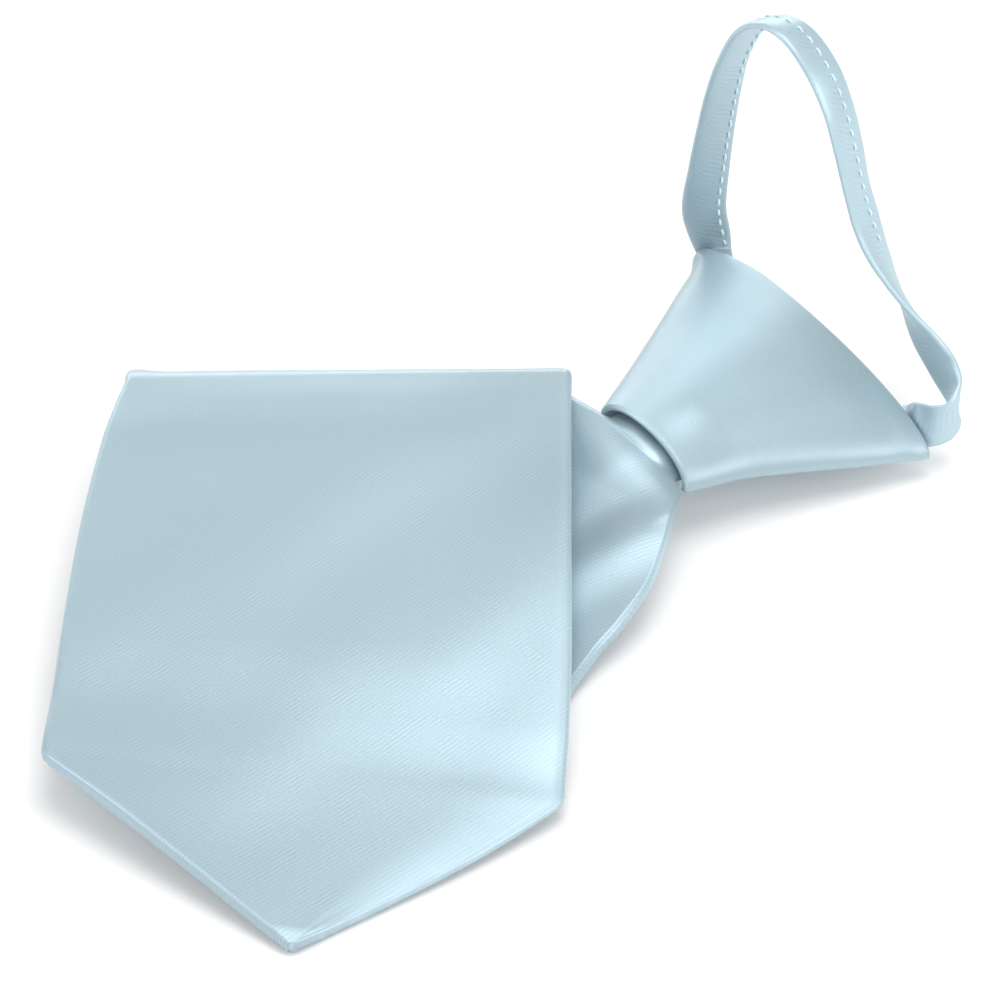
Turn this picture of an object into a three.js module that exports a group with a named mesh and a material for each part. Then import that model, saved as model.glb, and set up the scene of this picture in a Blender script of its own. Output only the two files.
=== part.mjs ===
// A child's pre-tied zipper tie in satin, lying on z = 0 with its blade folded under itself.
// Millimetres, +Z up. It is seen from -Y, so left is -X and right is +X.
import * as THREE from 'three';

// Blade: one padded strip, from the knot's mouth down, back under itself, and over the top to the tip
const BLADE_WIDTH = 77;
const TIP_LENGTH = 32;
const TIP_END = 1.2;
const TAPER = 0.087;
const CLOTH = 2.4;
const NECK_LENGTH = 62;
const MIDDLE_LENGTH = 55.5;
const PANEL_LENGTH = 117.5;
const TUCK_LENGTH = 8;
const STACK_HEIGHT = 17.5;
const FOLD_GAP = 0.3;

// How the strip is turned on the table, in degrees from +X
const NECK_HEADING = 223;
const MIDDLE_HEADING = 90;
const PANEL_HEADING = 267.2;
const TOP_CREASE = -2;

// Knot: a wrapped sleeve, open at its wide end and at its mouth
const KNOT_LENGTH = 40;
const KNOT_WIDTH = 53;
const MOUTH_WIDTH = 20;
const KNOT_FRONT = 6.2;
const KNOT_BACK = 3.4;
const KNOT_WALL = 1.6;
const LIP = 0.8;
const LIP_BACK = 4;
const MOUTH_HEIGHT = 11.2;
const TOP_HEIGHT = 8.4;
const KNOT_HEADING = 45.5;
const KNOT_ACROSS = -50.3;
const KNOT_ROLL = 11;
const SECTION_POWER = 2.3;

// Neck strap: a flat stitched ribbon
const STRAP_WIDTH = 7;
const STRAP_THICK = 1.4;
const LOOP_HEIGHT = 63;
const LOOP_SPAN = 50;
const LEFT_PINCH = 0.5;

// Zip behind the blade
const ZIP_WIDTH = 9;
const ZIP_THICK = 1.5;
const ZIP_LENGTH = 28;
const ZIP_START = 2;
const SLIDER_WIDTH = 7;
const SLIDER_LENGTH = 10;
const SLIDER_THICK = 1.8;
const ZIP_GAP = 0.5;

// Clearance between pieces that touch
const CLEARANCE = 0.3;

// Widths to the left and right are shares of half the strip's width. Heights are shares of the stack's height
// above cloth lying on the table, at the left, middle and right.
const NECK_ROWS = [
  { run: 0.00, toLeft: 0.20, toRight: 0.20, left: 0.76, middle: 0.73, right: 0.61 },
  { run: 0.02, toLeft: 0.43, toRight: 0.30, left: 0.66, middle: 0.73, right: 0.57 },
  { run: 0.05, toLeft: 0.52, toRight: 0.38, left: 0.54, middle: 0.70, right: 0.54 },
  { run: 0.10, toLeft: 0.61, toRight: 0.46, left: 0.48, middle: 0.62, right: 0.50 },
  { run: 0.18, toLeft: 0.74, toRight: 0.57, left: 0.38, middle: 0.50, right: 0.46 },
  { run: 0.32, toLeft: 0.88, toRight: 0.69, left: 0.22, middle: 0.34, right: 0.37 },
  { run: 0.50, toLeft: 0.98, toRight: 0.75, left: 0.11, middle: 0.18, right: 0.25 },
  { run: 0.65, toLeft: 1.00, toRight: 0.77, left: 0.03, middle: 0.06, right: 0.14 },
  { run: 0.85, toLeft: 1.00, toRight: 0.85, left: 0.00, middle: 0.00, right: 0.03 },
  { run: 1.00, toLeft: 1.00, toRight: 1.00, left: 0.00, middle: 0.00, right: 0.00 },
];
const MIDDLE_ROWS = [
  { run: 0.00, left: 0.00, middle: 0.00, right: 0.00 },
  { run: 0.25, left: 0.00, middle: 0.05, right: 0.20 },
  { run: 0.50, left: 0.00, middle: 0.16, right: 0.40 },
  { run: 0.75, left: 0.02, middle: 0.27, right: 0.57 },
  { run: 1.00, left: 0.05, middle: 0.35, right: 0.63 },
];
const PANEL_ROWS = [
  { run: 0.00, toLeft: 0.96, toRight: 1.00, left: 0.80, middle: 0.90, right: 1.00 },
  { run: 0.05, toLeft: 0.98, toRight: 1.00, left: 0.80, middle: 0.92, right: 1.00 },
  { run: 0.12, toLeft: 1.00, toRight: 1.00, left: 0.80, middle: 0.91, right: 0.98 },
  { run: 0.30, toLeft: 1.02, toRight: 1.00, left: 0.74, middle: 0.77, right: 0.80 },
  { run: 0.50, toLeft: 1.01, toRight: 1.00, left: 0.63, middle: 0.58, right: 0.57 },
  { run: 0.62, toLeft: 1.00, toRight: 0.99, left: 0.55, middle: 0.42, right: 0.38 },
  { run: 0.72, toLeft: 1.00, toRight: 0.98, left: 0.52, middle: 0.30, right: 0.13 },
  { run: 0.86, toLeft: 1.00, toRight: 1.03, left: 0.31, middle: 0.14, right: 0.01 },
  { run: 1.00, toLeft: 1.00, toRight: 1.00, left: 0.00, middle: 0.00, right: 0.00 },
];

// Knot sections from the mouth to the wide end, as shares of how far each size grows and of the full depths
const KNOT_ROWS = [
  { run: 0.00, spread: 0.00, front: 0.72, back: 1.00 },
  { run: 0.25, spread: 0.25, front: 0.84, back: 1.00 },
  { run: 0.50, spread: 0.52, front: 0.95, back: 1.00 },
  { run: 0.75, spread: 0.80, front: 1.00, back: 1.00 },
  { run: 0.92, spread: 0.96, front: 0.98, back: 1.00 },
  { run: 1.00, spread: 1.00, front: 0.95, back: 0.98 },
];

// Loop of the neck strap between its tucked ends: across and out of the loop's plane as shares of its span,
// up as a share of its height, the share of the width left where it is pinched, and the three parts of the
// direction that the ribbon's width takes
const STRAP_ROWS = [
  { across: 0.07, out: 0.04, up: 0.21, pinch: 0.50, widthAcross: 0.85, widthOut: 0.45, widthUp: -0.25 },
  { across: 0.00, out: 0.05, up: 0.26, pinch: 0.76, widthAcross: 0.45, widthOut: 0.85, widthUp: -0.25 },
  { across: -0.01, out: 0.00, up: 0.34, pinch: 1.00, widthAcross: 0.10, widthOut: 0.97, widthUp: -0.20 },
  { across: 0.00, out: 0.00, up: 0.47, pinch: 1.00, widthAcross: 0.00, widthOut: 0.98, widthUp: -0.20 },
  { across: 0.02, out: 0.00, up: 0.60, pinch: 1.00, widthAcross: 0.00, widthOut: 0.98, widthUp: -0.20 },
  { across: 0.05, out: 0.00, up: 0.72, pinch: 1.00, widthAcross: 0.00, widthOut: 0.98, widthUp: -0.20 },
  { across: 0.08, out: 0.00, up: 0.83, pinch: 1.00, widthAcross: 0.00, widthOut: 0.98, widthUp: -0.20 },
  { across: 0.16, out: 0.00, up: 0.95, pinch: 1.00, widthAcross: 0.00, widthOut: 0.98, widthUp: -0.20 },
  { across: 0.25, out: 0.00, up: 1.00, pinch: 1.00, widthAcross: 0.00, widthOut: 0.98, widthUp: -0.20 },
  { across: 0.35, out: 0.00, up: 1.00, pinch: 1.00, widthAcross: 0.00, widthOut: 0.98, widthUp: -0.20 },
  { across: 0.46, out: 0.00, up: 0.94, pinch: 1.00, widthAcross: 0.00, widthOut: 0.98, widthUp: -0.20 },
  { across: 0.53, out: 0.00, up: 0.86, pinch: 1.00, widthAcross: -0.08, widthOut: 0.96, widthUp: -0.24 },
  { across: 0.58, out: 0.00, up: 0.76, pinch: 1.00, widthAcross: -0.12, widthOut: 0.94, widthUp: -0.28 },
  { across: 0.62, out: 0.00, up: 0.66, pinch: 1.00, widthAcross: -0.18, widthOut: 0.92, widthUp: -0.30 },
  { across: 0.654, out: 0.004, up: 0.587, pinch: 1.00, widthAcross: -0.20, widthOut: 0.96, widthUp: -0.20 },
  { across: 0.690, out: 0.010, up: 0.524, pinch: 1.00, widthAcross: -0.32, widthOut: 0.93, widthUp: -0.18 },
  { across: 0.734, out: 0.030, up: 0.448, pinch: 1.00, widthAcross: -0.55, widthOut: 0.80, widthUp: -0.22 },
  { across: 0.790, out: 0.060, up: 0.356, pinch: 1.00, widthAcross: -0.80, widthOut: 0.50, widthUp: -0.33 },
  { across: 0.850, out: 0.080, up: 0.281, pinch: 1.00, widthAcross: -0.77, widthOut: 0.12, widthUp: -0.62 },
  { across: 0.920, out: 0.088, up: 0.225, pinch: 1.00, widthAcross: -0.64, widthOut: -0.02, widthUp: -0.77 },
  { across: 0.988, out: 0.070, up: 0.184, pinch: 1.00, widthAcross: -0.42, widthOut: 0.12, widthUp: -0.88 },
  { across: 1.026, out: 0.032, up: 0.159, pinch: 1.00, widthAcross: -0.16, widthOut: 0.40, widthUp: -0.90 },
  { across: 1.012, out: -0.004, up: 0.135, pinch: 1.00, widthAcross: 0.25, widthOut: 0.25, widthUp: -0.93 },
  { across: 0.964, out: -0.028, up: 0.113, pinch: 1.00, widthAcross: 0.60, widthOut: -0.10, widthUp: -0.78 },
];
// Ends of the strap between the knot's walls, on its left and right: run along the knot, side as a share of
// half its width there, lift above its middle, and the turn of the ribbon's width from straight across in degrees
const LEFT_TUCK = [
  { run: 0.80, side: -0.76, lift: 0.7, turn: 0 },
  { run: 1.00, side: -0.77, lift: 0.7, turn: 0 },
];
const RIGHT_TUCK = [
  { run: 1.00, side: 0.70, lift: 1.2, turn: 18 },
  { run: 0.88, side: 0.58, lift: 1.2, turn: 38 },
];

// Mesh fineness
const ACROSS_STEPS = 10;
const RING_STEPS = 32;
const KNOT_STEPS = 12;
const STRAP_STEPS = 4;

const COLOUR = 0xb9d6e2;
const radians = THREE.MathUtils.degToRad;

function heading(degrees) {
  return new THREE.Vector3(Math.cos(radians(degrees)), Math.sin(radians(degrees)), 0);
}

// Value of one column of a table at a run, on a smooth curve through the rows
function column(rows, name, run) {
  const last = rows.length - 1;
  const found = rows.findIndex((row) => row.run >= run);
  const i = Math.min(Math.max(found < 0 ? last : found, 1), last);
  const slope = (j) => {
    const a = rows[Math.max(j - 1, 0)];
    const b = rows[Math.min(j + 1, last)];
    return (b[name] - a[name]) / (b.run - a.run);
  };
  const low = rows[i - 1];
  const high = rows[i];
  const gap = high.run - low.run;
  const t = THREE.MathUtils.clamp((run - low.run) / gap, 0, 1);
  const bend = (2 * t - 3) * t * t;
  return low[name] * (1 + bend) - high[name] * bend
    + gap * t * (1 - t) * (slope(i - 1) * (1 - t) - slope(i) * t);
}

// Height over the width, from the heights at the left, middle and right, where u runs from -1 to 1
function across(rows, run, u) {
  const left = column(rows, 'left', run);
  const middle = column(rows, 'middle', run);
  const right = column(rows, 'right', run);
  return Math.max(middle + ((right - left) / 2) * u + ((right + left) / 2 - middle) * u * u, 0);
}

function shares(count) {
  return Array.from({ length: count + 1 }, (_, i) => i / count);
}

// Knot frame, with its sections as flattened rings
const knotAcross = heading(KNOT_ACROSS).multiplyScalar(Math.cos(radians(KNOT_ROLL)))
  .setZ(-Math.sin(radians(KNOT_ROLL)));
const mouthCentre = new THREE.Vector3(0, 0, MOUTH_HEIGHT);
const topCentre = heading(KNOT_HEADING).multiplyScalar(KNOT_LENGTH).setZ(TOP_HEIGHT);
const knotAxis = topCentre.clone().sub(mouthCentre).normalize();
const knotUp = knotAcross.clone().cross(knotAxis).normalize();

function knotHalfWidth(run) {
  return THREE.MathUtils.lerp(MOUTH_WIDTH, KNOT_WIDTH, column(KNOT_ROWS, 'spread', run)) / 2;
}

// Point of the knot's frame at a run along it, sideways and upwards from its middle
function knotPoint(run, side, up) {
  return mouthCentre.clone().lerp(topCentre, run)
    .addScaledVector(knotAcross, side)
    .addScaledVector(knotUp, up);
}

// Ring of one knot section, drawn in from its outside by inset
function knotRing(run, inset) {
  const wide = knotHalfWidth(run) - inset;
  const front = KNOT_FRONT * column(KNOT_ROWS, 'front', run) - inset;
  const back = KNOT_BACK * column(KNOT_ROWS, 'back', run) - inset;
  return shares(RING_STEPS).slice(1).map((share) => {
    const angle = -2 * Math.PI * share;
    const side = Math.sign(Math.cos(angle)) * Math.abs(Math.cos(angle)) ** (2 / SECTION_POWER);
    const rise = Math.sign(Math.sin(angle)) * Math.abs(Math.sin(angle)) ** (2 / SECTION_POWER);
    const lip = (rise > 0 ? LIP : LIP_BACK) * rise * (1 - run) ** 3;
    return knotPoint(run, wide * side, (rise > 0 ? front : back) * rise).addScaledVector(knotAxis, -lip);
  });
}

// Closed mesh of quads over a list of points
function quadMesh(points, quads) {
  const index = quads.flatMap(([a, b, c, d]) => [a, b, c, a, c, d]);
  const geometry = new THREE.BufferGeometry().setFromPoints(points);
  geometry.setIndex(index);
  geometry.computeVertexNormals();
  return geometry;
}

// Sleeve between outer and inner rings, open through its middle
function sleeve(outer, inner) {
  const count = outer[0].length;
  const rows = outer.length;
  const points = [...outer.flat(), ...inner.flat()];
  const at = (layer, i, j) => (layer * rows + i) * count + (j % count);
  const quads = [];
  for (let j = 0; j < count; j += 1) {
    for (let i = 0; i < rows - 1; i += 1) {
      quads.push([at(0, i, j), at(0, i, j + 1), at(0, i + 1, j + 1), at(0, i + 1, j)]);
      quads.push([at(1, i, j), at(1, i + 1, j), at(1, i + 1, j + 1), at(1, i, j + 1)]);
    }
    quads.push([at(0, 0, j), at(1, 0, j), at(1, 0, j + 1), at(0, 0, j + 1)]);
    quads.push([at(0, rows - 1, j), at(0, rows - 1, j + 1), at(1, rows - 1, j + 1), at(1, rows - 1, j)]);
  }
  return quadMesh(points, quads);
}

// Slab between two grids of points, rows along it and columns from its left to its right
function slab(front, back) {
  const rows = front.length;
  const count = front[0].length;
  const points = [...front.flat(), ...back.flat()];
  const at = (layer, i, j) => (layer * rows + i) * count + j;
  const quads = [];
  for (let i = 0; i < rows - 1; i += 1) {
    for (let j = 0; j < count - 1; j += 1) {
      quads.push([at(0, i, j), at(0, i + 1, j), at(0, i + 1, j + 1), at(0, i, j + 1)]);
      quads.push([at(1, i, j), at(1, i, j + 1), at(1, i + 1, j + 1), at(1, i + 1, j)]);
    }
    quads.push([at(0, i, 0), at(1, i, 0), at(1, i + 1, 0), at(0, i + 1, 0)]);
    quads.push([at(0, i, count - 1), at(0, i + 1, count - 1), at(1, i + 1, count - 1), at(1, i, count - 1)]);
  }
  for (let j = 0; j < count - 1; j += 1) {
    quads.push([at(0, 0, j), at(0, 0, j + 1), at(1, 0, j + 1), at(1, 0, j)]);
    quads.push([at(0, rows - 1, j), at(1, rows - 1, j), at(1, rows - 1, j + 1), at(0, rows - 1, j + 1)]);
  }
  return quadMesh(points, quads);
}

// Unit normals of a grid of points, on the side that faces up where rows run away from the knot
function gridNormals(grid) {
  return grid.map((row, i) => row.map((_, j) => {
    const along = grid[Math.min(i + 1, grid.length - 1)][j].clone().sub(grid[Math.max(i - 1, 0)][j]);
    const side = row[Math.min(j + 1, row.length - 1)].clone().sub(row[Math.max(j - 1, 0)]);
    return along.cross(side).normalize();
  }));
}

// Grid moved along its normals
function offsetGrid(grid, normals, distance) {
  return grid.map((row, i) => row.map((point, j) => point.clone().addScaledVector(normals[i][j], distance)));
}

// Blade
const lowCloth = CLOTH / 2;
const stackRise = STACK_HEIGHT - CLOTH;
const lowRoll = (CLOTH + FOLD_GAP) / 2;
const neckCreaseAngle = (NECK_HEADING + MIDDLE_HEADING) / 2 - 180;
const neckEnd = heading(NECK_HEADING).multiplyScalar(NECK_LENGTH);
const topEnd = neckEnd.clone().addScaledVector(heading(MIDDLE_HEADING), MIDDLE_LENGTH);

// Half of the strip's flat width at a distance from its tip
function stripHalf(fromTip) {
  if (fromTip < TIP_LENGTH) {
    return THREE.MathUtils.lerp(TIP_END, BLADE_WIDTH, fromTip / TIP_LENGTH) / 2;
  }
  return (BLADE_WIDTH - TAPER * (fromTip - TIP_LENGTH)) / 2;
}

// Row of points on a straight line across the strip, from its left to its right; skew is the line's turn
// from square
function bladeRow(centre, angle, skew, toLeft, toRight, height) {
  const side = heading(angle);
  return shares(ACROSS_STEPS).map((share) => {
    const place = THREE.MathUtils.lerp(-toLeft, toRight, share) / Math.cos(radians(skew));
    return centre.clone().addScaledVector(side, place).setZ(height(2 * share - 1));
  });
}

// Cloth inside the knot's mouth, arched under the front wall
const mouthHalf = (MOUTH_WIDTH / 2 - KNOT_WALL) * 0.63;
const mouthArch = KNOT_FRONT * KNOT_ROWS[0].front - KNOT_WALL - CLEARANCE - CLOTH / 2;
function mouthPoint(distance, u) {
  return knotPoint(distance / KNOT_LENGTH, u * mouthHalf, mouthArch * (1 - 0.58 * u * u));
}

function neckRow(share) {
  const along = share * NECK_LENGTH;
  const full = stripHalf(PANEL_LENGTH + MIDDLE_LENGTH + NECK_LENGTH - along);
  const turn = THREE.MathUtils.smoothstep(share, 0.05, 0.85);
  const square = NECK_HEADING - 270;
  const angle = THREE.MathUtils.lerp(KNOT_ACROSS, neckCreaseAngle, turn);
  const centre = heading(NECK_HEADING).multiplyScalar(along);
  const toLeft = full * column(NECK_ROWS, 'toLeft', share);
  const toRight = full * column(NECK_ROWS, 'toRight', share);
  const free = bladeRow(centre, angle, angle - square, toLeft, toRight,
    (u) => lowCloth + stackRise * across(NECK_ROWS, share, u));
  const held = 1 - THREE.MathUtils.smoothstep(share, 0, NECK_ROWS[1].run);
  return free.map((point, j) => point.lerp(mouthPoint(-along, (2 * j) / ACROSS_STEPS - 1), held));
}

function lowFoldRow(share) {
  const angle = Math.PI * share;
  const outward = heading(neckCreaseAngle - 90);
  const centre = neckEnd.clone().addScaledVector(outward, lowRoll * Math.sin(angle));
  const rise = lowRoll * (1 - Math.cos(angle));
  const half = stripHalf(PANEL_LENGTH + MIDDLE_LENGTH);
  return bladeRow(centre, neckCreaseAngle, neckCreaseAngle - (NECK_HEADING - 270), half, half,
    (u) => lowCloth + stackRise * across(NECK_ROWS, 1, u) + rise);
}

function middleHeight(share, u) {
  return lowCloth + 2 * lowRoll + stackRise * across(MIDDLE_ROWS, share, u);
}

function middleRow(share) {
  const square = MIDDLE_HEADING - 90;
  const angle = THREE.MathUtils.lerp(neckCreaseAngle, TOP_CREASE, THREE.MathUtils.smoothstep(share, 0, 1));
  const centre = neckEnd.clone().lerp(topEnd, share);
  const half = stripHalf(PANEL_LENGTH + MIDDLE_LENGTH * (1 - share));
  const toLeft = half * THREE.MathUtils.lerp(1, PANEL_ROWS[0].toLeft, share);
  return bladeRow(centre, angle, angle - square, toLeft, half, (u) => middleHeight(share, u));
}

function panelHeight(share, u) {
  return lowCloth + stackRise * across(PANEL_ROWS, share, u);
}

// The top fold is half an ellipse, looser at its left end, with its nose on one straight line
function topFoldRow(share) {
  const angle = Math.PI * share;
  const outward = heading(TOP_CREASE + 90);
  const half = stripHalf(PANEL_LENGTH);
  const row = bladeRow(topEnd, TOP_CREASE, TOP_CREASE, half * PANEL_ROWS[0].toLeft, half, () => 0);
  return row.map((point, j) => {
    const u = (2 * j) / ACROSS_STEPS - 1;
    const low = middleHeight(1, u);
    const high = panelHeight(0, u);
    const rise = (high - low) / 2;
    return point.addScaledVector(outward, rise * Math.sin(angle)).setZ(low + rise * (1 - Math.cos(angle)));
  });
}

function panelRow(share) {
  const along = share * PANEL_LENGTH;
  const square = PANEL_HEADING - 270;
  const angle = THREE.MathUtils.lerp(TOP_CREASE, square, THREE.MathUtils.smoothstep(share, 0, 0.2));
  const centre = topEnd.clone().addScaledVector(heading(PANEL_HEADING), along);
  const half = stripHalf(PANEL_LENGTH - along);
  const toLeft = half * column(PANEL_ROWS, 'toLeft', share);
  const toRight = half * column(PANEL_ROWS, 'toRight', share);
  return bladeRow(centre, angle, 0, toLeft, toRight, (u) => panelHeight(share, u));
}

function bladeGrid() {
  const corner = 1 - TIP_LENGTH / PANEL_LENGTH;
  const inKnot = shares(2).slice(0, -1).map((share) => {
    const distance = TUCK_LENGTH * (1 - share);
    return shares(ACROSS_STEPS).map((step) => mouthPoint(distance, 2 * step - 1));
  });
  return [
    ...inKnot,
    ...shares(18).map((share) => neckRow(share ** 1.6)),
    ...shares(6).slice(1).map(lowFoldRow),
    ...shares(8).slice(1).map(middleRow),
    ...shares(8).slice(1).map(topFoldRow),
    ...shares(12).slice(1).map((share) => panelRow(share * corner)),
    ...shares(8).slice(1).map((share) => panelRow(corner + share * (1 - corner))),
  ];
}

function bladeGeometry() {
  const grid = bladeGrid();
  const normals = gridNormals(grid);
  return slab(offsetGrid(grid, normals, CLOTH / 2), offsetGrid(grid, normals, -CLOTH / 2));
}

// Knot
function knotGeometry() {
  const rings = (inset) => shares(KNOT_STEPS).map((share) => knotRing(share, inset));
  return sleeve(rings(0), rings(KNOT_WALL));
}

// Neck strap, from inside the knot's left corner, round the loop, into its right corner
const loopAcross = heading(KNOT_HEADING - 92.3);
const loopOut = heading(KNOT_HEADING - 2.3);
const loopStart = knotPoint(1, -KNOT_WIDTH / 2, 0).setZ(0);

// Stations between the knot's front and back walls
function tuckStations(rows, pinch) {
  return rows.map((row) => ({
    point: knotPoint(row.run, row.side * knotHalfWidth(row.run), row.lift),
    width: knotAcross.clone().multiplyScalar(Math.cos(radians(row.turn)))
      .addScaledVector(knotAxis, -Math.sin(radians(row.turn))),
    pinch,
  }));
}

function loopStations() {
  return STRAP_ROWS.map((row) => ({
    point: loopStart.clone()
      .addScaledVector(loopAcross, row.across * LOOP_SPAN)
      .addScaledVector(loopOut, row.out * LOOP_SPAN)
      .setZ(row.up * LOOP_HEIGHT),
    pinch: row.pinch,
    width: new THREE.Vector3(0, 0, row.widthUp)
      .addScaledVector(loopAcross, row.widthAcross)
      .addScaledVector(loopOut, row.widthOut)
      .normalize(),
  }));
}

function strapGeometry() {
  const stations = [...tuckStations(LEFT_TUCK, LEFT_PINCH), ...loopStations(), ...tuckStations(RIGHT_TUCK, 1)];
  const path = new THREE.CatmullRomCurve3(stations.map((station) => station.point), false, 'centripetal');
  const widths = new THREE.CatmullRomCurve3(stations.map((station) => station.width), false, 'catmullrom', 0.4);
  const pinches = new THREE.SplineCurve(stations.map((station, i) => new THREE.Vector2(i, station.pinch)));
  const front = [];
  const back = [];
  for (const share of shares(STRAP_STEPS * (stations.length - 1))) {
    const centre = path.getPoint(share);
    const along = path.getTangent(share);
    const width = widths.getPoint(share);
    width.addScaledVector(along, -width.dot(along)).normalize();
    const out = along.clone().cross(width).normalize();
    const half = (STRAP_WIDTH * pinches.getPoint(share).y) / 2;
    const edge = (side, up) => centre.clone()
      .addScaledVector(width, side * half)
      .addScaledVector(out, (up * STRAP_THICK) / 2);
    front.push([edge(-1, 1), edge(1, 1)]);
    back.push([edge(-1, -1), edge(1, -1)]);
  }
  return slab(front, back);
}

// Zip: a flat tape under the cloth of the neck, with its slider's body on the underside
function zipGeometry() {
  const under = CLOTH / 2 + ZIP_GAP + ZIP_THICK / 2;
  const steps = 14;
  const top = [];
  const bottom = [];
  for (const share of shares(steps)) {
    const distance = ZIP_START + share * ZIP_LENGTH;
    const row = neckRow(distance / NECK_LENGTH);
    const next = neckRow((distance + 1) / NECK_LENGTH);
    const middle = ACROSS_STEPS / 2;
    const side = row[middle + 1].clone().sub(row[middle - 1]).normalize();
    const up = next[middle].clone().sub(row[middle]).cross(side).normalize();
    const body = THREE.MathUtils.smoothstep(share * ZIP_LENGTH, 2, 4)
      - THREE.MathUtils.smoothstep(share * ZIP_LENGTH, 2 + SLIDER_LENGTH, 4 + SLIDER_LENGTH);
    const centre = row[middle].addScaledVector(up, -under);
    const columns = [-ZIP_WIDTH / 2, -SLIDER_WIDTH / 2, SLIDER_WIDTH / 2, ZIP_WIDTH / 2];
    const deep = [0, body * SLIDER_THICK, body * SLIDER_THICK, 0];
    top.push(columns.map((x) => centre.clone().addScaledVector(side, x).addScaledVector(up, ZIP_THICK / 2)));
    bottom.push(columns.map((x, j) => centre.clone().addScaledVector(side, x)
      .addScaledVector(up, -ZIP_THICK / 2 - deep[j])));
  }
  return slab(top, bottom);
}

const satin = { color: COLOUR, roughness: 0.38, metalness: 0 };
const pieces = {
  blade: new THREE.Mesh(bladeGeometry(), new THREE.MeshStandardMaterial(satin)),
  knot: new THREE.Mesh(knotGeometry(), new THREE.MeshStandardMaterial(satin)),
  neck_strap: new THREE.Mesh(strapGeometry(), new THREE.MeshStandardMaterial(satin)),
  zipper: new THREE.Mesh(zipGeometry(), new THREE.MeshStandardMaterial({ ...satin, roughness: 0.6 })),
};

const tie = new THREE.Group();
for (const [name, mesh] of Object.entries(pieces)) {
  mesh.name = name;
  tie.add(mesh);
}

// The origin is under the middle of the whole tie
const extent = new THREE.Box3().setFromObject(tie);
const middle = extent.getCenter(new THREE.Vector3());
tie.position.set(-middle.x, -middle.y, -extent.min.z);

export default tie;
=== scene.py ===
"""A child's pre-tied zipper tie in pale blue satin, lying folded with its neck strap standing in a loop.

Sizes are in millimetres in the tie's own layout, whose origin is on the table under the knot's mouth.
Points are moved into the frame and into metres only when a mesh is made.
"""

import logging
import math
from dataclasses import dataclass, field
from enum import Enum

import bpy
import numpy as np
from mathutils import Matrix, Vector


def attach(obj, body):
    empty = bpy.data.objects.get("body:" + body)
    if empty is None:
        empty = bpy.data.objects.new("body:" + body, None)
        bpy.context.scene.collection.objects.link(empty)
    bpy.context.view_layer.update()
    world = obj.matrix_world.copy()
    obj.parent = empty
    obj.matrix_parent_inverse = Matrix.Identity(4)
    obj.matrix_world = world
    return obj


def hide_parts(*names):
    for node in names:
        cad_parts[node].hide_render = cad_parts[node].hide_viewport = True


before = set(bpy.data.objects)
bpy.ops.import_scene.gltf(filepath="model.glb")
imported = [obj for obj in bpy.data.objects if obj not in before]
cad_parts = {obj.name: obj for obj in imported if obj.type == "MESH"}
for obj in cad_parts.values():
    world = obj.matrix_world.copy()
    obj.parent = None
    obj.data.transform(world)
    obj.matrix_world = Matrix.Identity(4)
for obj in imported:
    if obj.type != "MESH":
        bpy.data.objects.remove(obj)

log = logging.getLogger("zipper_tie")

Array = np.ndarray

BODY = "root"
MILLIMETRE = 0.001
LAYOUT_ORIGIN = (19.373, 26.177, 0.0)

# Studio, in metres, apart from the camera's place, which is in the layout's millimetres
FLOOR_REACH = 6.0
FLOOR_DROP = 0.0002
LIGHT_AIM = (-0.01, -0.02, 0.01)
CAMERA_PLACE = (-21.37, -963.13, 727.84)
CAMERA_ELEVATION = 37.0
CAMERA_LENS = 285.7


class Side(Enum):
    """Which face of the neck strap a row of stitches is on."""

    INNER = -1
    OUTER = 1


def heading(degrees: float | Array) -> Array:
    """Unit vectors on the table at angles from +X, with one more axis of three."""
    angle = np.radians(degrees)
    return np.stack([np.cos(angle), np.sin(angle), np.zeros_like(angle)], axis=-1)


def unit(vectors: Array) -> Array:
    """Vectors divided by their lengths along the last axis."""
    return vectors / np.maximum(np.linalg.norm(vectors, axis=-1, keepdims=True), 1e-9)


def smoothstep(value: Array, low: float, high: float) -> Array:
    """Smooth rise from 0 at low to 1 at high: t squared times (3 - 2 t)."""
    t = np.clip((value - low) / (high - low), 0.0, 1.0)
    return t * t * (3.0 - 2.0 * t)


def bump_at(value: Array, centre: float, width: float) -> Array:
    """Bell curve of height 1: e to the minus square of (value - centre) / width."""
    return np.exp(-(((value - centre) / width) ** 2))


def bumps(value: Array, table: tuple[tuple[float, float, float], ...]) -> Array:
    """Sum of bell curves, each given by its height, centre and width."""
    return sum(height * bump_at(value, centre, width) for height, centre, width in table)


def signed_power(value: Array, power: float | Array) -> Array:
    """Size of a number to a power, with its sign kept: one coordinate of a superellipse."""
    return np.sign(value) * np.abs(value) ** power


def flat_uv(u: Array, v: Array) -> Array:
    """Places on the flat cloth in metres, from millimetres in its two directions."""
    return np.stack(np.broadcast_arrays(u, v), axis=-1) * MILLIMETRE


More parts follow.
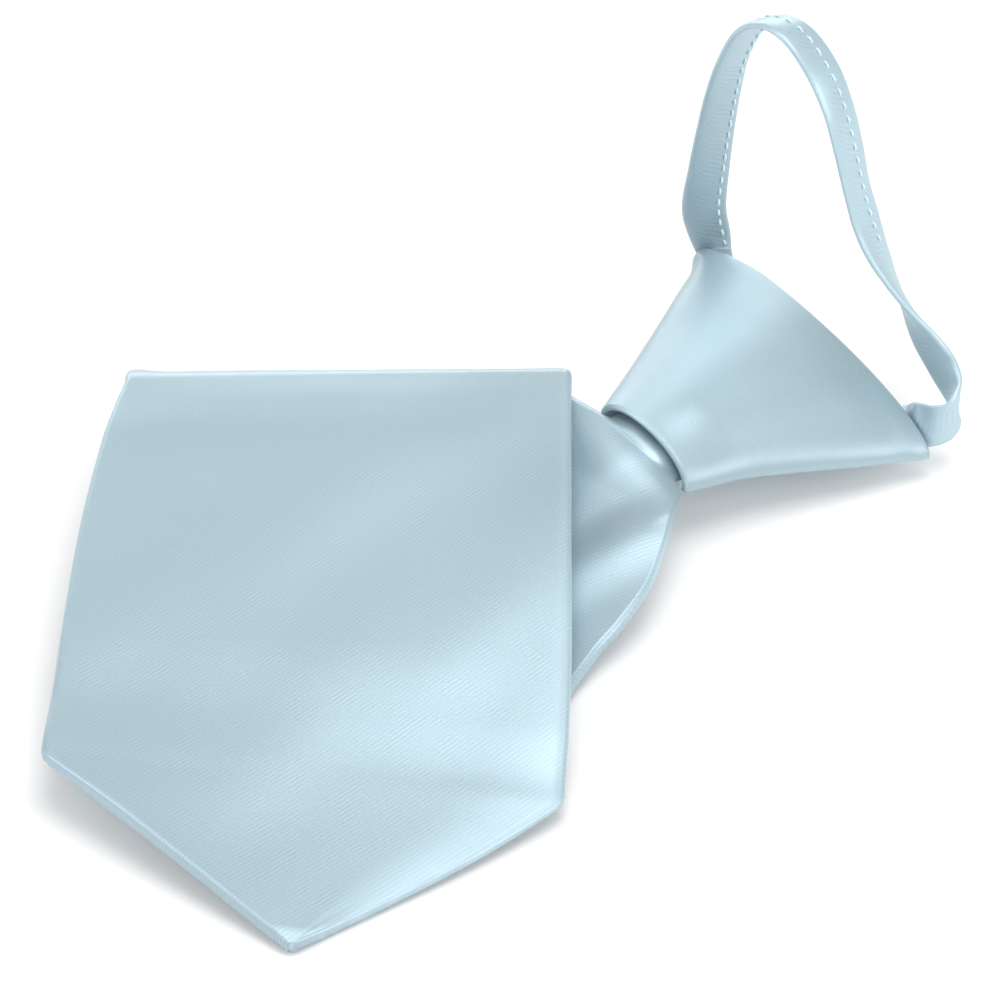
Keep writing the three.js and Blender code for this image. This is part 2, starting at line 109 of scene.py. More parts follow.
@dataclass(frozen=True)
class Table:
    """Named columns over a run from 0 to 1, joined by smooth cubic curves."""

    run: tuple[float, ...]
    columns: dict[str, tuple[float, ...]]

    def at(self, name: str, run: Array) -> Array:
        """Value of a column at a run, on a cubic that has the mean slope at each row.

        Args:
            name: the column.
            run: places from 0 to 1, of any shape.

        Returns:
            Values of the same shape.
        """
        rows = np.array(self.run)
        values = np.array(self.columns[name])
        last = len(rows) - 1
        before = np.maximum(np.arange(last + 1) - 1, 0)
        after = np.minimum(np.arange(last + 1) + 1, last)
        slope = (values[after] - values[before]) / (rows[after] - rows[before])
        run = np.asarray(run, dtype=float)
        i = np.clip(np.searchsorted(rows, run, side="left"), 1, last)
        gap = rows[i] - rows[i - 1]
        t = np.clip((run - rows[i - 1]) / gap, 0.0, 1.0)
        bend = (2.0 * t - 3.0) * t * t
        return (
            values[i - 1] * (1.0 + bend)
            - values[i] * bend
            + gap * t * (1.0 - t) * (slope[i - 1] * (1.0 - t) - slope[i] * t)
        )

    def across(self, run: Array, u: Array) -> Array:
        """Height over the width: a parabola through the left, middle and right columns.

        Args:
            run: places along the cloth.
            u: places across it, from -1 at the left to 1 at the right.

        Returns:
            Heights of the broadcast shape, never under 0.
        """
        left = self.at("left", run)
        middle = self.at("middle", run)
        right = self.at("right", run)
        height = middle + (right - left) / 2.0 * u + ((right + left) / 2.0 - middle) * u * u
        return np.maximum(height, 0.0)


# Meshes


def new_mesh_object(
    name: str, points: Array, quads: Array, uv: Array | None = None, tone: Array | None = None
) -> bpy.types.Object:
    """Makes a smooth-shaded mesh object from points in the layout.

    Args:
        name: the piece's name.
        points: (n, 3) points in millimetres in the layout.
        quads: (m, 4) indices of the corners of each face.
        uv: (m, 4, 2) places on the flat cloth in metres, one for each corner.
        tone: (n,) painted light and shade at each point: how much lighter or darker the satin is painted
            there, 0 for its plain tone.

    Returns:
        The object, linked to the scene and riding on the tie's body.
    """
    placed = (points + np.array(LAYOUT_ORIGIN)) * MILLIMETRE
    mesh = bpy.data.meshes.new(name)
    mesh.vertices.add(len(placed))
    mesh.vertices.foreach_set("co", placed.astype(np.float32).ravel())
    mesh.loops.add(quads.size)
    mesh.loops.foreach_set("vertex_index", quads.astype(np.int32).ravel())
    mesh.polygons.add(len(quads))
    mesh.polygons.foreach_set("loop_start", np.arange(0, quads.size, 4, dtype=np.int32))
    mesh.polygons.foreach_set("loop_total", np.full(len(quads), 4, dtype=np.int32))
    mesh.polygons.foreach_set("use_smooth", np.ones(len(quads), dtype=bool))
    if uv is not None:
        layer = mesh.uv_layers.new(name="cloth")
        layer.data.foreach_set("uv", uv.astype(np.float32).ravel())
    # The tone attribute holds painted light and shade, which the satin material adds to its colour.
    painted_light_layer = mesh.attributes.new("tone", "FLOAT", "POINT")
    painted_light_values = np.zeros(len(points)) if tone is None else tone
    painted_light_layer.data.foreach_set("value", painted_light_values.astype(np.float32).ravel())
    mesh.update(calc_edges=True)
    obj = bpy.data.objects.new(name, mesh)
    bpy.context.scene.collection.objects.link(obj)
    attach(obj, BODY)
    return obj


def grid_quads(rows: int, columns: int, close_rows: bool, close_columns: bool) -> tuple[Array, Array]:
    """Faces of a grid, turned so that rows cross columns give the outward side.

    Args:
        rows: number of rows of points.
        columns: number of points in a row.
        close_rows: whether the last row joins the first.
        close_columns: whether the last column joins the first.

    Returns:
        (m, 4) point indices, and (m, 4, 2) row and column numbers that don't wrap, for the UV map.
    """
    i, j = np.meshgrid(
        np.arange(rows if close_rows else rows - 1),
        np.arange(columns if close_columns else columns - 1),
        indexing="ij",
    )
    i, j = i.ravel(), j.ravel()
    steps = ((0, 0), (1, 0), (1, 1), (0, 1))
    corners = np.stack([np.stack([i + down, j + over], axis=-1) for down, over in steps], axis=1)
    index = (corners[..., 0] % rows) * columns + corners[..., 1] % columns
    return index, corners


def cap_quads(rows: int, columns: int) -> tuple[Array, Array]:
    """Quads that close the first and the last section of a grid, each a strip across the section."""
    k = np.arange(columns // 2 - 1)
    first = np.stack([k, k + 1, columns - 2 - k, columns - 1 - k], axis=-1)
    return first, first[:, ::-1] + (rows - 1) * columns


def copies(quads: Array, count: int, points: int) -> Array:
    """Faces of several copies of a mesh, each with the same number of points."""
    return (quads[None] + (np.arange(count) * points)[:, None, None]).reshape(-1, 4)


def loft(name: str, sections: Array, uv: Array, tone: Array | None = None) -> bpy.types.Object:
    """Closed solid through closed sections, with a strip of quads closing each end.

    Args:
        name: the piece's name.
        sections: (rows, columns, 3) points; columns must be even and run round each section.
        uv: (rows, columns + 1, 2) places on the flat cloth in metres.
        tone: (rows, columns) painted light and shade of the satin's face.

    Returns:
        The object.
    """
    rows, columns = sections.shape[:2]
    quads, corners = grid_quads(rows, columns, False, True)
    uvs = uv[corners[..., 0], corners[..., 1]]
    first, last = cap_quads(rows, columns)
    cap_uv = np.concatenate([uv[0][first], uv[-1][first[:, ::-1]]])
    faces = np.concatenate([quads, first, last])
    return new_mesh_object(name, sections.reshape(-1, 3), faces, np.concatenate([uvs, cap_uv]), tone)


def catmull_rom(points: Array, per_span: int, power: float) -> Array:
    """Curve through points, by Barry and Goldman's pyramid of straight blends.

    The knots are spaced by the distance between points to a power: 0.5 gives the centripetal curve.

    Args:
        points: (n, k) values to pass through.
        per_span: how many steps each span is cut into.
        power: 0 for even knots, 0.5 for centripetal ones.

    Returns:
        ((n - 1) * per_span + 1, k) values.
    """
    ends = np.vstack([2 * points[:1] - points[1:2], points, 2 * points[-1:] - points[-2:-1]])
    p0, p1, p2, p3 = ends[:-3], ends[1:-2], ends[2:-1], ends[3:]

    def step(a: Array, b: Array) -> Array:
        """Knot distance between neighbouring points."""
        return np.maximum(np.linalg.norm(b - a, axis=1), 1e-6)[:, None, None] ** power

    d0, d1, d2 = step(p0, p1), step(p1, p2), step(p2, p3)
    t = (np.arange(per_span) / per_span)[None, :, None] * d1
    p0, p1, p2, p3 = (p[:, None, :] for p in (p0, p1, p2, p3))
    a1 = p0 + (p1 - p0) * (t + d0) / d0
    a2 = p1 + (p2 - p1) * t / d1
    a3 = p2 + (p3 - p2) * (t - d1) / d2
    b1 = a1 + (a2 - a1) * (t + d0) / (d0 + d1)
    b2 = a2 + (a3 - a2) * t / (d1 + d2)
    curve = b1 + (b2 - b1) * t / d1
    return np.vstack([curve.reshape(-1, points.shape[1]), points[-1:]])


# Knot's own frame, which the blade and the strap are tucked into


@dataclass(frozen=True)
class KnotFrame:
    """Where the knot lies, and its section at each run from the mouth to the wide end."""

    length: float = 40.0
    width: float = 53.0
    mouth_width: float = 20.0
    front: float = 6.2
    back: float = 3.4
    wall: float = 1.0
    lip: float = -0.6
    lip_back: float = 4.0
    mouth_height: float = 11.2
    top_height: float = 8.4
    direction: float = 45.5
    across_direction: float = -50.3
    roll: float = 11.0
    left_power: float = 2.1
    right_power: float = 2.0
    right_back: float = 0.3
    right_trim: float = 1.4
    left_corner: float = 1.5
    left_cut: float = 1.3
    rows: Table = Table(
        run=(0.0, 0.25, 0.50, 0.75, 0.92, 1.0),
        columns={
            "spread": (0.0, 0.25, 0.52, 0.80, 0.96, 1.0),
            "front": (0.72, 0.84, 0.95, 1.0, 0.98, 0.95),
            "back": (1.0, 1.0, 1.0, 1.0, 1.0, 0.98),
        },
    )

    @property
    def mouth(self) -> Array:
        """Middle of the mouth."""
        return np.array([0.0, 0.0, self.mouth_height])

    @property
    def top(self) -> Array:
        """Middle of the wide end."""
        return heading(self.direction) * self.length + np.array([0.0, 0.0, self.top_height])

    @property
    def axis(self) -> Array:
        """Unit vector from the mouth to the wide end."""
        return unit(self.top - self.mouth)

    @property
    def across(self) -> Array:
        """Unit vector to the knot's right, which the roll tips down."""
        roll = math.radians(self.roll)
        return heading(self.across_direction) * math.cos(roll) - np.array([0.0, 0.0, math.sin(roll)])

    @property
    def up(self) -> Array:
        """Unit vector out of the knot's front."""
        return unit(np.cross(self.across, self.axis))

    def half_width(self, run: Array) -> Array:
        """Half of the knot's width at a run."""
        return (self.mouth_width + (self.width - self.mouth_width) * self.rows.at("spread", run)) / 2.0

    def point(self, run: Array, side: Array, rise: Array) -> Array:
        """Point at a run, sideways and upwards from the knot's middle line.

        Args:
            run: 0 at the mouth, 1 at the wide end.
            side: millimetres to the right.
            rise: millimetres out of the front.

        Returns:
            Points in the layout, of the broadcast shape and one more axis of three.
        """
        run, side, rise = np.broadcast_arrays(run, side, rise)
        line = self.mouth + (self.top - self.mouth) * run[..., None]
        return line + side[..., None] * self.across + rise[..., None] * self.up

    def ring(self, run: Array, inset: Array, angle: Array) -> Array:
        """Points of the ring: a flat superellipse, deeper in front than behind, drawn in by an inset.

        The left side is rounder than the right one, and its wide corner stands out a little.

        Args:
            run: place along the knot.
            inset: depth under the outer surface in millimetres.
            angle: place round the ring, 0 at the right and a quarter turn at the front.

        Returns:
            Points in the layout.
        """
        front = self.front * self.rows.at("front", run) - inset
        back = self.back * self.rows.at("back", run) - inset
        cos, sin = np.cos(angle), np.sin(angle)
        corner = np.where(cos < 0, self.left_corner * bump_at(run, 0.98, 0.09), 0.0)
        trim = self.right_trim * smoothstep(run, 0.0, 0.3) * (1.0 - 0.6 * smoothstep(run, 0.85, 1.0))
        wide = self.half_width(run) - inset + np.where(cos < 0, corner, -trim)
        power = np.where(cos < 0, self.left_power, self.right_power)
        side, rise = signed_power(cos, 2.0 / power), signed_power(sin, 2.0 / power)
        lip = np.where(rise > 0, self.lip, self.lip_back) * rise * np.clip(1.0 - run, 0.0, 1.0) ** 3
        lip = lip + self.left_cut * smoothstep(-side, 0.55, 1.0) * smoothstep(run, 0.82, 1.0)
        shallow = np.where(cos > 0, 1.0 - (1.0 - self.right_back) * side, 1.0)
        depth = np.where(rise > 0, front, back * shallow)
        return self.point(run, wide * side, depth * rise) - lip[..., None] * self.axis


KNOT = KnotFrame()


# Blade


@dataclass
class Blade:
    """The wide padded strip, from inside the knot down, back under itself and over the top to its tip."""

    width: float = 77.0
    tip_length: float = 32.0
    tip_end: float = 1.2
    taper: float = 0.087
    cloth: float = 2.4
    neck_length: float = 62.0
    middle_length: float = 55.5
    panel_length: float = 117.5
    tuck_length: float = 8.0
    stack_height: float = 17.5
    fold_gap: float = 0.3
    neck_heading: float = 223.0
    middle_heading: float = 90.0
    panel_heading: float = 267.2
    top_crease: float = -2.0
    clearance: float = 0.25
    mouth_fill: float = 0.88
    mouth_arch: float = 0.62
    mouth_droop: float = 0.90
    side_press: float = 0.55
    corner_soft: float = 1.1
    edge_radius: float = 0.9
    edge_crowding: float = 0.96
    neck_grain: float = -25.5
    wave_slant: float = 39.0
    wave_height: float = 0.13
    wave_pitch: float = 35.0
    wave_start: float = 10.5
    columns: int = 96
    edge_points: int = 7
    neck_rows: Table = Table(
        run=(0.0, 0.02, 0.05, 0.10, 0.18, 0.32, 0.50, 0.65, 0.85, 1.0),
        columns={
            "to_left": (0.30, 0.60, 0.64, 0.69, 0.77, 0.88, 0.98, 1.0, 1.0, 1.0),
            "to_right": (0.28, 0.35, 0.40, 0.47, 0.57, 0.69, 0.75, 0.77, 0.85, 1.0),
            "left": (0.76, 0.66, 0.54, 0.48, 0.38, 0.22, 0.11, 0.03, 0.0, 0.0),
            "middle": (0.73, 0.73, 0.70, 0.62, 0.50, 0.34, 0.18, 0.06, 0.0, 0.0),
            "right": (0.61, 0.57, 0.54, 0.50, 0.46, 0.37, 0.25, 0.14, 0.03, 0.0),
        },
    )
    middle_rows: Table = Table(
        run=(0.0, 0.25, 0.50, 0.75, 1.0),
        columns={
            "left": (0.0, 0.0, 0.0, 0.02, 0.05),
            "middle": (0.0, 0.05, 0.16, 0.27, 0.35),
            "right": (0.0, 0.20, 0.40, 0.57, 0.63),
        },
    )
    panel_rows: Table = Table(
        run=(0.0, 0.05, 0.12, 0.30, 0.50, 0.62, 0.72, 0.86, 1.0),
        columns={
            "to_left": (0.96, 0.98, 1.0, 1.02, 1.01, 1.0, 1.0, 1.0, 1.0),
            "to_right": (1.0, 1.0, 1.0, 1.0, 1.0, 0.99, 0.98, 1.03, 1.0),
            "left": (0.80, 0.80, 0.80, 0.74, 0.63, 0.55, 0.52, 0.31, 0.0),
            "middle": (0.90, 0.92, 0.91, 0.77, 0.58, 0.42, 0.30, 0.14, 0.0),
            "right": (1.0, 1.0, 0.98, 0.80, 0.57, 0.38, 0.16, 0.03, 0.0),
        },
    )

    @property
    def low(self) -> float:
        """Height of the middle of cloth that lies on the table."""
        return self.cloth / 2.0

    @property
    def length(self) -> float:
        """Length of the strip from the knot's mouth to its tip."""
        return self.panel_length + self.middle_length + self.neck_length

    @property
    def neck_square(self) -> float:
        """Direction square to the neck's middle line."""
        return self.neck_heading - 270.0

    @property
    def panel_square(self) -> float:
        """Direction square to the panel's middle line."""
        return self.panel_heading - 270.0

    @property
    def top_left(self) -> float:
        """Share of the half width that lies left of the middle line at the top fold."""
        return self.panel_rows.columns["to_left"][0]

    @property
    def rise(self) -> float:
        """Height that the shares in the tables are of."""
        return self.stack_height - self.cloth

    @property
    def roll(self) -> float:
        """Radius of the low fold's middle surface."""
        return (self.cloth + self.fold_gap) / 2.0

    @property
    def low_crease(self) -> float:
        """Direction of the low fold's crease."""
        return (self.neck_heading + self.middle_heading) / 2.0 - 180.0

    @property
    def neck_end(self) -> Array:
        """Where the strip's middle line meets the low fold."""
        return heading(self.neck_heading) * self.neck_length

    @property
    def top_end(self) -> Array:
        """Where the strip's middle line meets the top fold."""
        return self.neck_end + heading(self.middle_heading) * self.middle_length

    def half(self, from_tip: Array) -> Array:
        """Half of the strip's flat width at a distance from its tip, its corners a little rounded.

        Args:
            from_tip: millimetres from the tip.

        Returns:
            The smaller of the tip's straight side and the strip's slow taper, blended where they meet.
        """
        tip = (self.tip_end + (self.width - self.tip_end) * from_tip / self.tip_length) / 2.0
        body = (self.width - self.taper * (from_tip - self.tip_length)) / 2.0
        return (tip + body - np.sqrt((tip - body) ** 2 + self.corner_soft**2)) / 2.0

    def straight_row(
        self, centre: Array, angle: Array, skew: Array, left: Array, right: Array, u: Array
    ) -> Array:
        """Points on a straight line across the strip, at no height.

        Args:
            centre: points on the strip's middle line.
            angle: direction of the line in degrees.
            skew: how far that is from square, which makes the line longer by one over its cosine.
            left: width to the left of the middle line.
            right: width to its right.
            u: place across, from -1 to 1.

        Returns:
            Points in the layout.
        """
        place = (-left + (left + right) * (u + 1.0) / 2.0) / np.cos(np.radians(skew))
        return centre + place[..., None] * heading(angle)

    def mouth_point(self, distance: Array, u: Array) -> Array:
        """Cloth inside the knot's mouth, arched under its front wall.

        Args:
            distance: millimetres into the knot.
            u: place across, from -1 to 1.

        Returns:
            Points in the layout.
        """
        half = (KNOT.mouth_width / 2.0 - KNOT.wall) * self.mouth_fill
        room = KNOT.front * KNOT.rows.columns["front"][0] - KNOT.wall
        arch = (room - self.clearance - self.cloth / 2.0) * self.mouth_arch
        return KNOT.point(distance / KNOT.length, u * half, arch * (1.0 - self.mouth_droop * u * u))

    def neck(self, share: Array, u: Array) -> Array:
        """Free cloth below the knot, from its mouth to the low fold.

        Args:
            share: place along, from 0 to 1.
            u: place across, from -1 to 1.

        Returns:
            Points in the layout: straight rows that turn towards the crease, lifted by their table.
        """
        along = share * self.neck_length
        full = self.half(self.length - along)
        turn = smoothstep(share, 0.05, 0.85)
        angle = KNOT.across_direction + (self.low_crease - KNOT.across_direction) * turn
        centre = along[..., None] * heading(self.neck_heading)
        left = full * self.neck_rows.at("to_left", share)
        right = full * self.neck_rows.at("to_right", share)
        free = self.straight_row(centre, angle, angle - self.neck_square, left, right, u)
        mouth = self.mouth_point(-along, u)
        height = self.low + self.rise * self.neck_rows.across(share, u)
        free[..., 2] = height + (mouth[..., 2] - height) * (1.0 - smoothstep(share, -0.02, 0.16))
        held = (1.0 - smoothstep(share, 0.0, self.neck_rows.run[1]))[..., None]
        return free + (mouth - free) * held

    def low_fold(self, share: Array, u: Array) -> Array:
        """Half turn of the low fold: a half circle about its crease."""
        angle = math.pi * share
        outward = heading(self.low_crease - 90.0)
        centre = self.neck_end + (self.roll * np.sin(angle))[..., None] * outward
        half = self.half(self.panel_length + self.middle_length + 0.0 * share)
        skew = self.low_crease - self.neck_square
        points = self.straight_row(centre, self.low_crease + 0.0 * share, skew, half, half, u)
        points[..., 2] = self.low + self.roll * (1.0 - np.cos(angle)) + 0.0 * u
        return points

    def middle_height(self, share: Array, u: Array) -> Array:
        """Height of the middle layer."""
        return self.low + 2.0 * self.roll + self.rise * self.middle_rows.across(share, u)

    def middle(self, share: Array, u: Array) -> Array:
        """Layer that runs back up over the low one, its rows turning from one crease to the other."""
        turn = smoothstep(share, 0.0, 1.0)
        angle = self.low_crease + (self.top_crease - self.low_crease) * turn
        centre = self.neck_end + (self.top_end - self.neck_end) * share[..., None]
        half = self.half(self.panel_length + self.middle_length * (1.0 - share))
        left = half * (1.0 + (self.top_left - 1.0) * share)
        points = self.straight_row(centre, angle, angle - (self.middle_heading - 90.0), left, half, u)
        points[..., 2] = self.middle_height(share, u)
        return points

    def panel_height(self, share: Array, u: Array) -> Array:
        """Height of the top layer, which falls to the table at its tip."""
        return self.low + self.rise * self.panel_rows.across(share, u)

    def top_wave(self, u: Array) -> Array:
        """Small dips and the peak of the top fold's edge, in millimetres."""
        left = bumps(u, ((1.10, -0.95, 0.07), (-0.30, -0.78, 0.07)))
        return left + 0.30 + 0.12 * bump_at(u, -0.35, 0.2) - 0.25 * bump_at(u, 0.62, 0.16)

    def top_fold(self, share: Array, u: Array) -> Array:
        """Half turn of the top fold: half an ellipse whose height is the gap between the layers."""
        angle, flat = math.pi * share, 0.0 * share
        half = self.half(self.panel_length + flat)
        centre = self.top_end + flat[..., None]
        points = self.straight_row(
            centre, self.top_crease + flat, self.top_crease, half * self.top_left, half, u
        )
        low, high = self.middle_height(1.0 + flat, u), self.panel_height(flat, u)
        rise = (high - low) / 2.0
        out = rise * np.sin(angle) + self.top_wave(u) * np.sin(angle) ** 2
        points = points + out[..., None] * heading(self.top_crease + 90.0)
        points[..., 2] = low + rise * (1.0 - np.cos(angle))
        return points

    def panel(self, share: Array, u: Array) -> Array:
        """Top layer, from the top fold to the tip."""
        along = share * self.panel_length
        turn = smoothstep(share, 0.0, 0.2)
        angle = self.top_crease + (self.panel_square - self.top_crease) * turn
        centre = self.top_end + along[..., None] * heading(self.panel_heading)
        half = self.half(self.panel_length - along)
        left = half * self.panel_rows.at("to_left", share)
        right = half * self.panel_rows.at("to_right", share)
        points = self.straight_row(centre, angle, 0.0 * share, left, right, u)
        points[..., 2] = self.panel_height(share, u)
        return points

    def section(self, place: Array, u: Array) -> Array:
        """Any part of the strip's middle surface.

        Args:
            place: (rows, 1) place along the strip: -1 to 0 inside the knot, 0 to 1 the neck, 1 to 2
                the low fold, 2 to 3 the middle layer, 3 to 4 the top fold and 4 to 5 the panel.
            u: (rows, columns) place across, from -1 to 1.

        Returns:
            (rows, columns, 3) points in the layout.
        """
        parts = [
            lambda s, v: self.mouth_point(self.tuck_length * (1.0 - s), v),
            self.neck,
            self.low_fold,
            self.middle,
            self.top_fold,
            self.panel,
        ]
        points = np.zeros(u.shape + (3,))
        for number, part in enumerate(parts):
            inside = (place[:, 0] >= number - 1) & ((place[:, 0] < number) | (number == len(parts) - 1))
            if inside.any():
                share = np.broadcast_to(place[inside] - (number - 1), u[inside].shape)
                points[inside] = part(np.clip(share, 0.0, 1.0), u[inside])
        return points

    def places(self) -> Array:
        """Rows along the strip: close together in the folds, in the mouth and at the tip."""
        corner = 1.0 - self.tip_length / self.panel_length
        return np.concatenate(
            [
                np.linspace(-1.0, 0.0, 6, endpoint=False),
                np.linspace(0.0, 1.0, 74, endpoint=False) ** 1.4,
                1.0 + np.linspace(0.0, 1.0, 12, endpoint=False),
                2.0 + np.linspace(0.0, 1.0, 40, endpoint=False),
                3.0 + np.linspace(0.0, 1.0, 22, endpoint=False),
                4.0 + np.linspace(0.0, corner, 84, endpoint=False),
                4.0 + corner + (1.0 - corner) * np.linspace(0.0, 1.0, 44) ** 0.9,
            ]
        )

    def thickness(self, place: Array, u: Array) -> Array:
        """Half of the cloth's thickness, pressed thinner at its sides where the knot holds it.

        Args:
            place: (rows, 1) place along the strip.
            u: (rows, columns) place across it.

        Returns:
            (rows, columns) half thickness in millimetres.
        """
        gathered = (1.0 - smoothstep(place, 0.0, 0.06)) * smoothstep(np.abs(u), 0.3, 1.0)
        return self.cloth / 2.0 * (1.0 - self.side_press * gathered)

    def slanted(self, points: Array, turn: float = 1.0) -> Array:
        """Distance across the slanted waves, with their slant multiplied by a turn."""
        slant = np.radians(self.wave_slant) * turn
        return points[..., 1] * np.cos(slant) - points[..., 0] * np.sin(slant)

    def relief(self, place: Array, u: Array, points: Array) -> Array:
        """Soft waves and folds of the top face, in millimetres out of the cloth.

        The panel has slanted sine waves about 35 mm apart and rolls off beside its edges. The neck has
        a dip below the knot's lip and a terrace after it, across the way that the cloth is drawn.

        Args:
            place: (rows, 1) place along the strip in sections.
            u: (rows, columns) place across it, from -1 to 1.
            points: (rows, columns, 3) points of the middle surface.

        Returns:
            (rows, columns) heights.
        """
        x, y = points[..., 0], points[..., 1]
        turn = 2.0 * math.pi * (self.slanted(points) - self.wave_start) / self.wave_pitch
        cross = 2.0 * math.pi * self.slanted(points, 1.6) / (0.47 * self.wave_pitch)
        panel = self.wave_height * np.sin(turn) + 0.3 * self.wave_height * np.sin(cross + 1.3)
        roll = -0.30 * smoothstep(u, 0.93, 1.0) ** 2 - 0.15 * smoothstep(-u, 0.95, 1.0) ** 2
        panel = panel * smoothstep(place, 3.95, 4.25) * (1.0 - smoothstep(place, 4.8, 5.0)) + roll
        panel = panel - 0.9 * smoothstep(u, 0.35, 1.0) ** 2 * smoothstep(place, 4.25, 4.65)
        fold = y - 0.5 * x
        right = smoothstep(x, -14.0, 0.0)
        neck = bumps(fold, ((0.40, -18.0, 3.6), (-0.25, -10.0, 3.4), (-0.20, -26.0, 4.0)))
        crease = 0.20 * smoothstep(fold, -17.6, -16.4) * smoothstep(x, 0.0, 4.0)
        neck = (neck * (0.35 + 0.65 * right) + crease) * smoothstep(place, 0.02, 0.14)
        neck = neck * (1.0 - smoothstep(place, 0.6, 0.9))
        return np.where(place < 2.0, neck, panel)

    def tone(self, place: Array, u: Array, points: Array) -> Array:
        """Painted light and shade of the top face: painted highlights where the satin's floats would
        catch the light, and painted shade where they would turn from it.

        The panel has two slanted painted highlight bands and a painted highlight border that widens down
        its right side. The neck has a painted highlight under the knot's lip, painted shade in the hollow
        after it, and a painted highlight again beyond.

        Args:
            place: (rows, 1) place along the strip in sections.
            u: (rows, columns) place across it.
            points: (rows, columns, 3) points of the middle surface.

        Returns:
            (rows, columns) tones, 0 for the plain one.
        """
        x, y = points[..., 0], points[..., 1]
        # Panel: slanted painted highlight bands, a painted highlight border on the right, and painted
        # shade at the top fold, the upper right and towards the tip.
        bands = ((0.16, self.wave_start, 7.0), (0.15, self.wave_start - 34.0, 6.0))
        panel = bumps(self.slanted(points), bands)
        panel = panel * smoothstep(x, -82.0, -25.0)
        painted_highlight_border = smoothstep(u, 0.93 - 0.30 * smoothstep(place, 4.40, 4.72), 1.0)
        panel = panel + 0.24 * painted_highlight_border - 0.16 * (1.0 - smoothstep(place, 4.0, 4.35))
        panel = panel - 0.14 * smoothstep(u, 0.2, 0.8) * (1.0 - smoothstep(place, 4.15, 4.4))
        panel = panel - 0.12 * smoothstep(place, 4.55, 4.9) * smoothstep(-x, -5.0, 25.0)
        # Neck: painted highlight under the lip, painted shade in the hollow, painted highlight beyond,
        # and faint painted shade further on.
        fold = y - 0.5 * x
        neck = 0.42 * bump_at(fold, -3.6, 2.4) * smoothstep(x, -10.0, -3.0)
        neck = neck - 0.34 * bump_at(fold, -12.5, 4.0) * smoothstep(x, -13.0, -5.0)
        neck = neck + 0.38 * bump_at(fold, -23.5, 4.6) - 0.12 * bump_at(fold, -35.0, 6.0)
        return np.where(place < 2.0, neck, np.where(place < 3.0, 0.0, panel))

    def seam(self, across: Array) -> Array:
        """Relief of the underside: the lapped seam down the middle, with a groove beside it."""
        lap = 0.35 * (smoothstep(across, -0.6, 0.0) - smoothstep(across, 9.0, 15.0))
        return lap - 0.25 * bump_at(across, -0.8, 0.5)

    def build(self) -> bpy.types.Object:
        """Makes the strip as a closed solid with rounded edges.

        Each row is a closed section: the top face from left to right, half an ellipse round the right
        edge, the underside back to the left, and half an ellipse round the left edge.

        Returns:
            The blade's cloth.
        """
        place = self.places()[:, None]
        rows = len(place)
        turns = np.linspace(-1.0, 1.0, self.columns) * math.pi / 2.0 * self.edge_crowding
        spread = np.sin(turns) / math.sin(math.pi / 2.0 * self.edge_crowding)
        flat = np.broadcast_to(spread, (rows, self.columns))
        outer = self.section(place, flat)
        widths = np.linalg.norm(outer[:, -1] - outer[:, 0], axis=1)[:, None]
        edge = np.minimum(self.edge_radius, 0.4 * widths)
        u = flat * (1.0 - 2.0 * edge / np.maximum(widths, 1e-6))
        middle = self.section(place, u)
        normal = unit(np.cross(np.gradient(middle, axis=0), np.gradient(middle, axis=1)))
        across = u * widths / 2.0
        half = self.thickness(place, u) * np.minimum(1.0, 0.55 + widths / 16.0)
        top = middle + normal * (half + self.relief(place, u, middle))[..., None]
        under = middle - normal * (half + self.seam(across) * 0.4)[..., None]
        turn = np.linspace(0.0, math.pi, self.edge_points + 2)[1:-1]

        def edge_arc(column: int, sign: float) -> Array:
            """Half an ellipse round one edge, from the top face to the underside."""
            a, b = top[:, column], under[:, column]
            side = unit(middle[:, column] - middle[:, column - int(sign)])
            centre, arm = (a + b) / 2.0, (a - b) / 2.0
            return (
                centre[:, None]
                + arm[:, None] * np.cos(turn)[None, :, None]
                + side[:, None] * (edge[:, :, None] * np.sin(turn)[None, :, None])
            )

        right = edge_arc(self.columns - 1, 1.0)
        left = edge_arc(0, -1.0)[:, ::-1]
        sections = np.concatenate([top, right, under[:, ::-1], left], axis=1)
        closed = np.concatenate([sections, sections[:, :1]], axis=1)
        grain = np.where(place < 2.0, self.neck_grain, np.where(place < 3.0, 0.0, self.panel_square))
        warp, weft = heading(grain), heading(grain - 90.0)
        uv = flat_uv(np.sum(closed * warp, axis=-1), np.sum(closed * weft, axis=-1))
        # Painted light and shade of the top face, carried onto the rounded edges; the underside gets
        # none.
        face = self.tone(place, u, middle)
        right_face, left_face = (np.repeat(face[:, [k]], self.edge_points, axis=1) for k in (-1, 0))
        tone = np.concatenate([face, right_face, 0.0 * face, left_face], axis=1)
        return loft("blade_cloth", sections, uv, tone)


# Knot


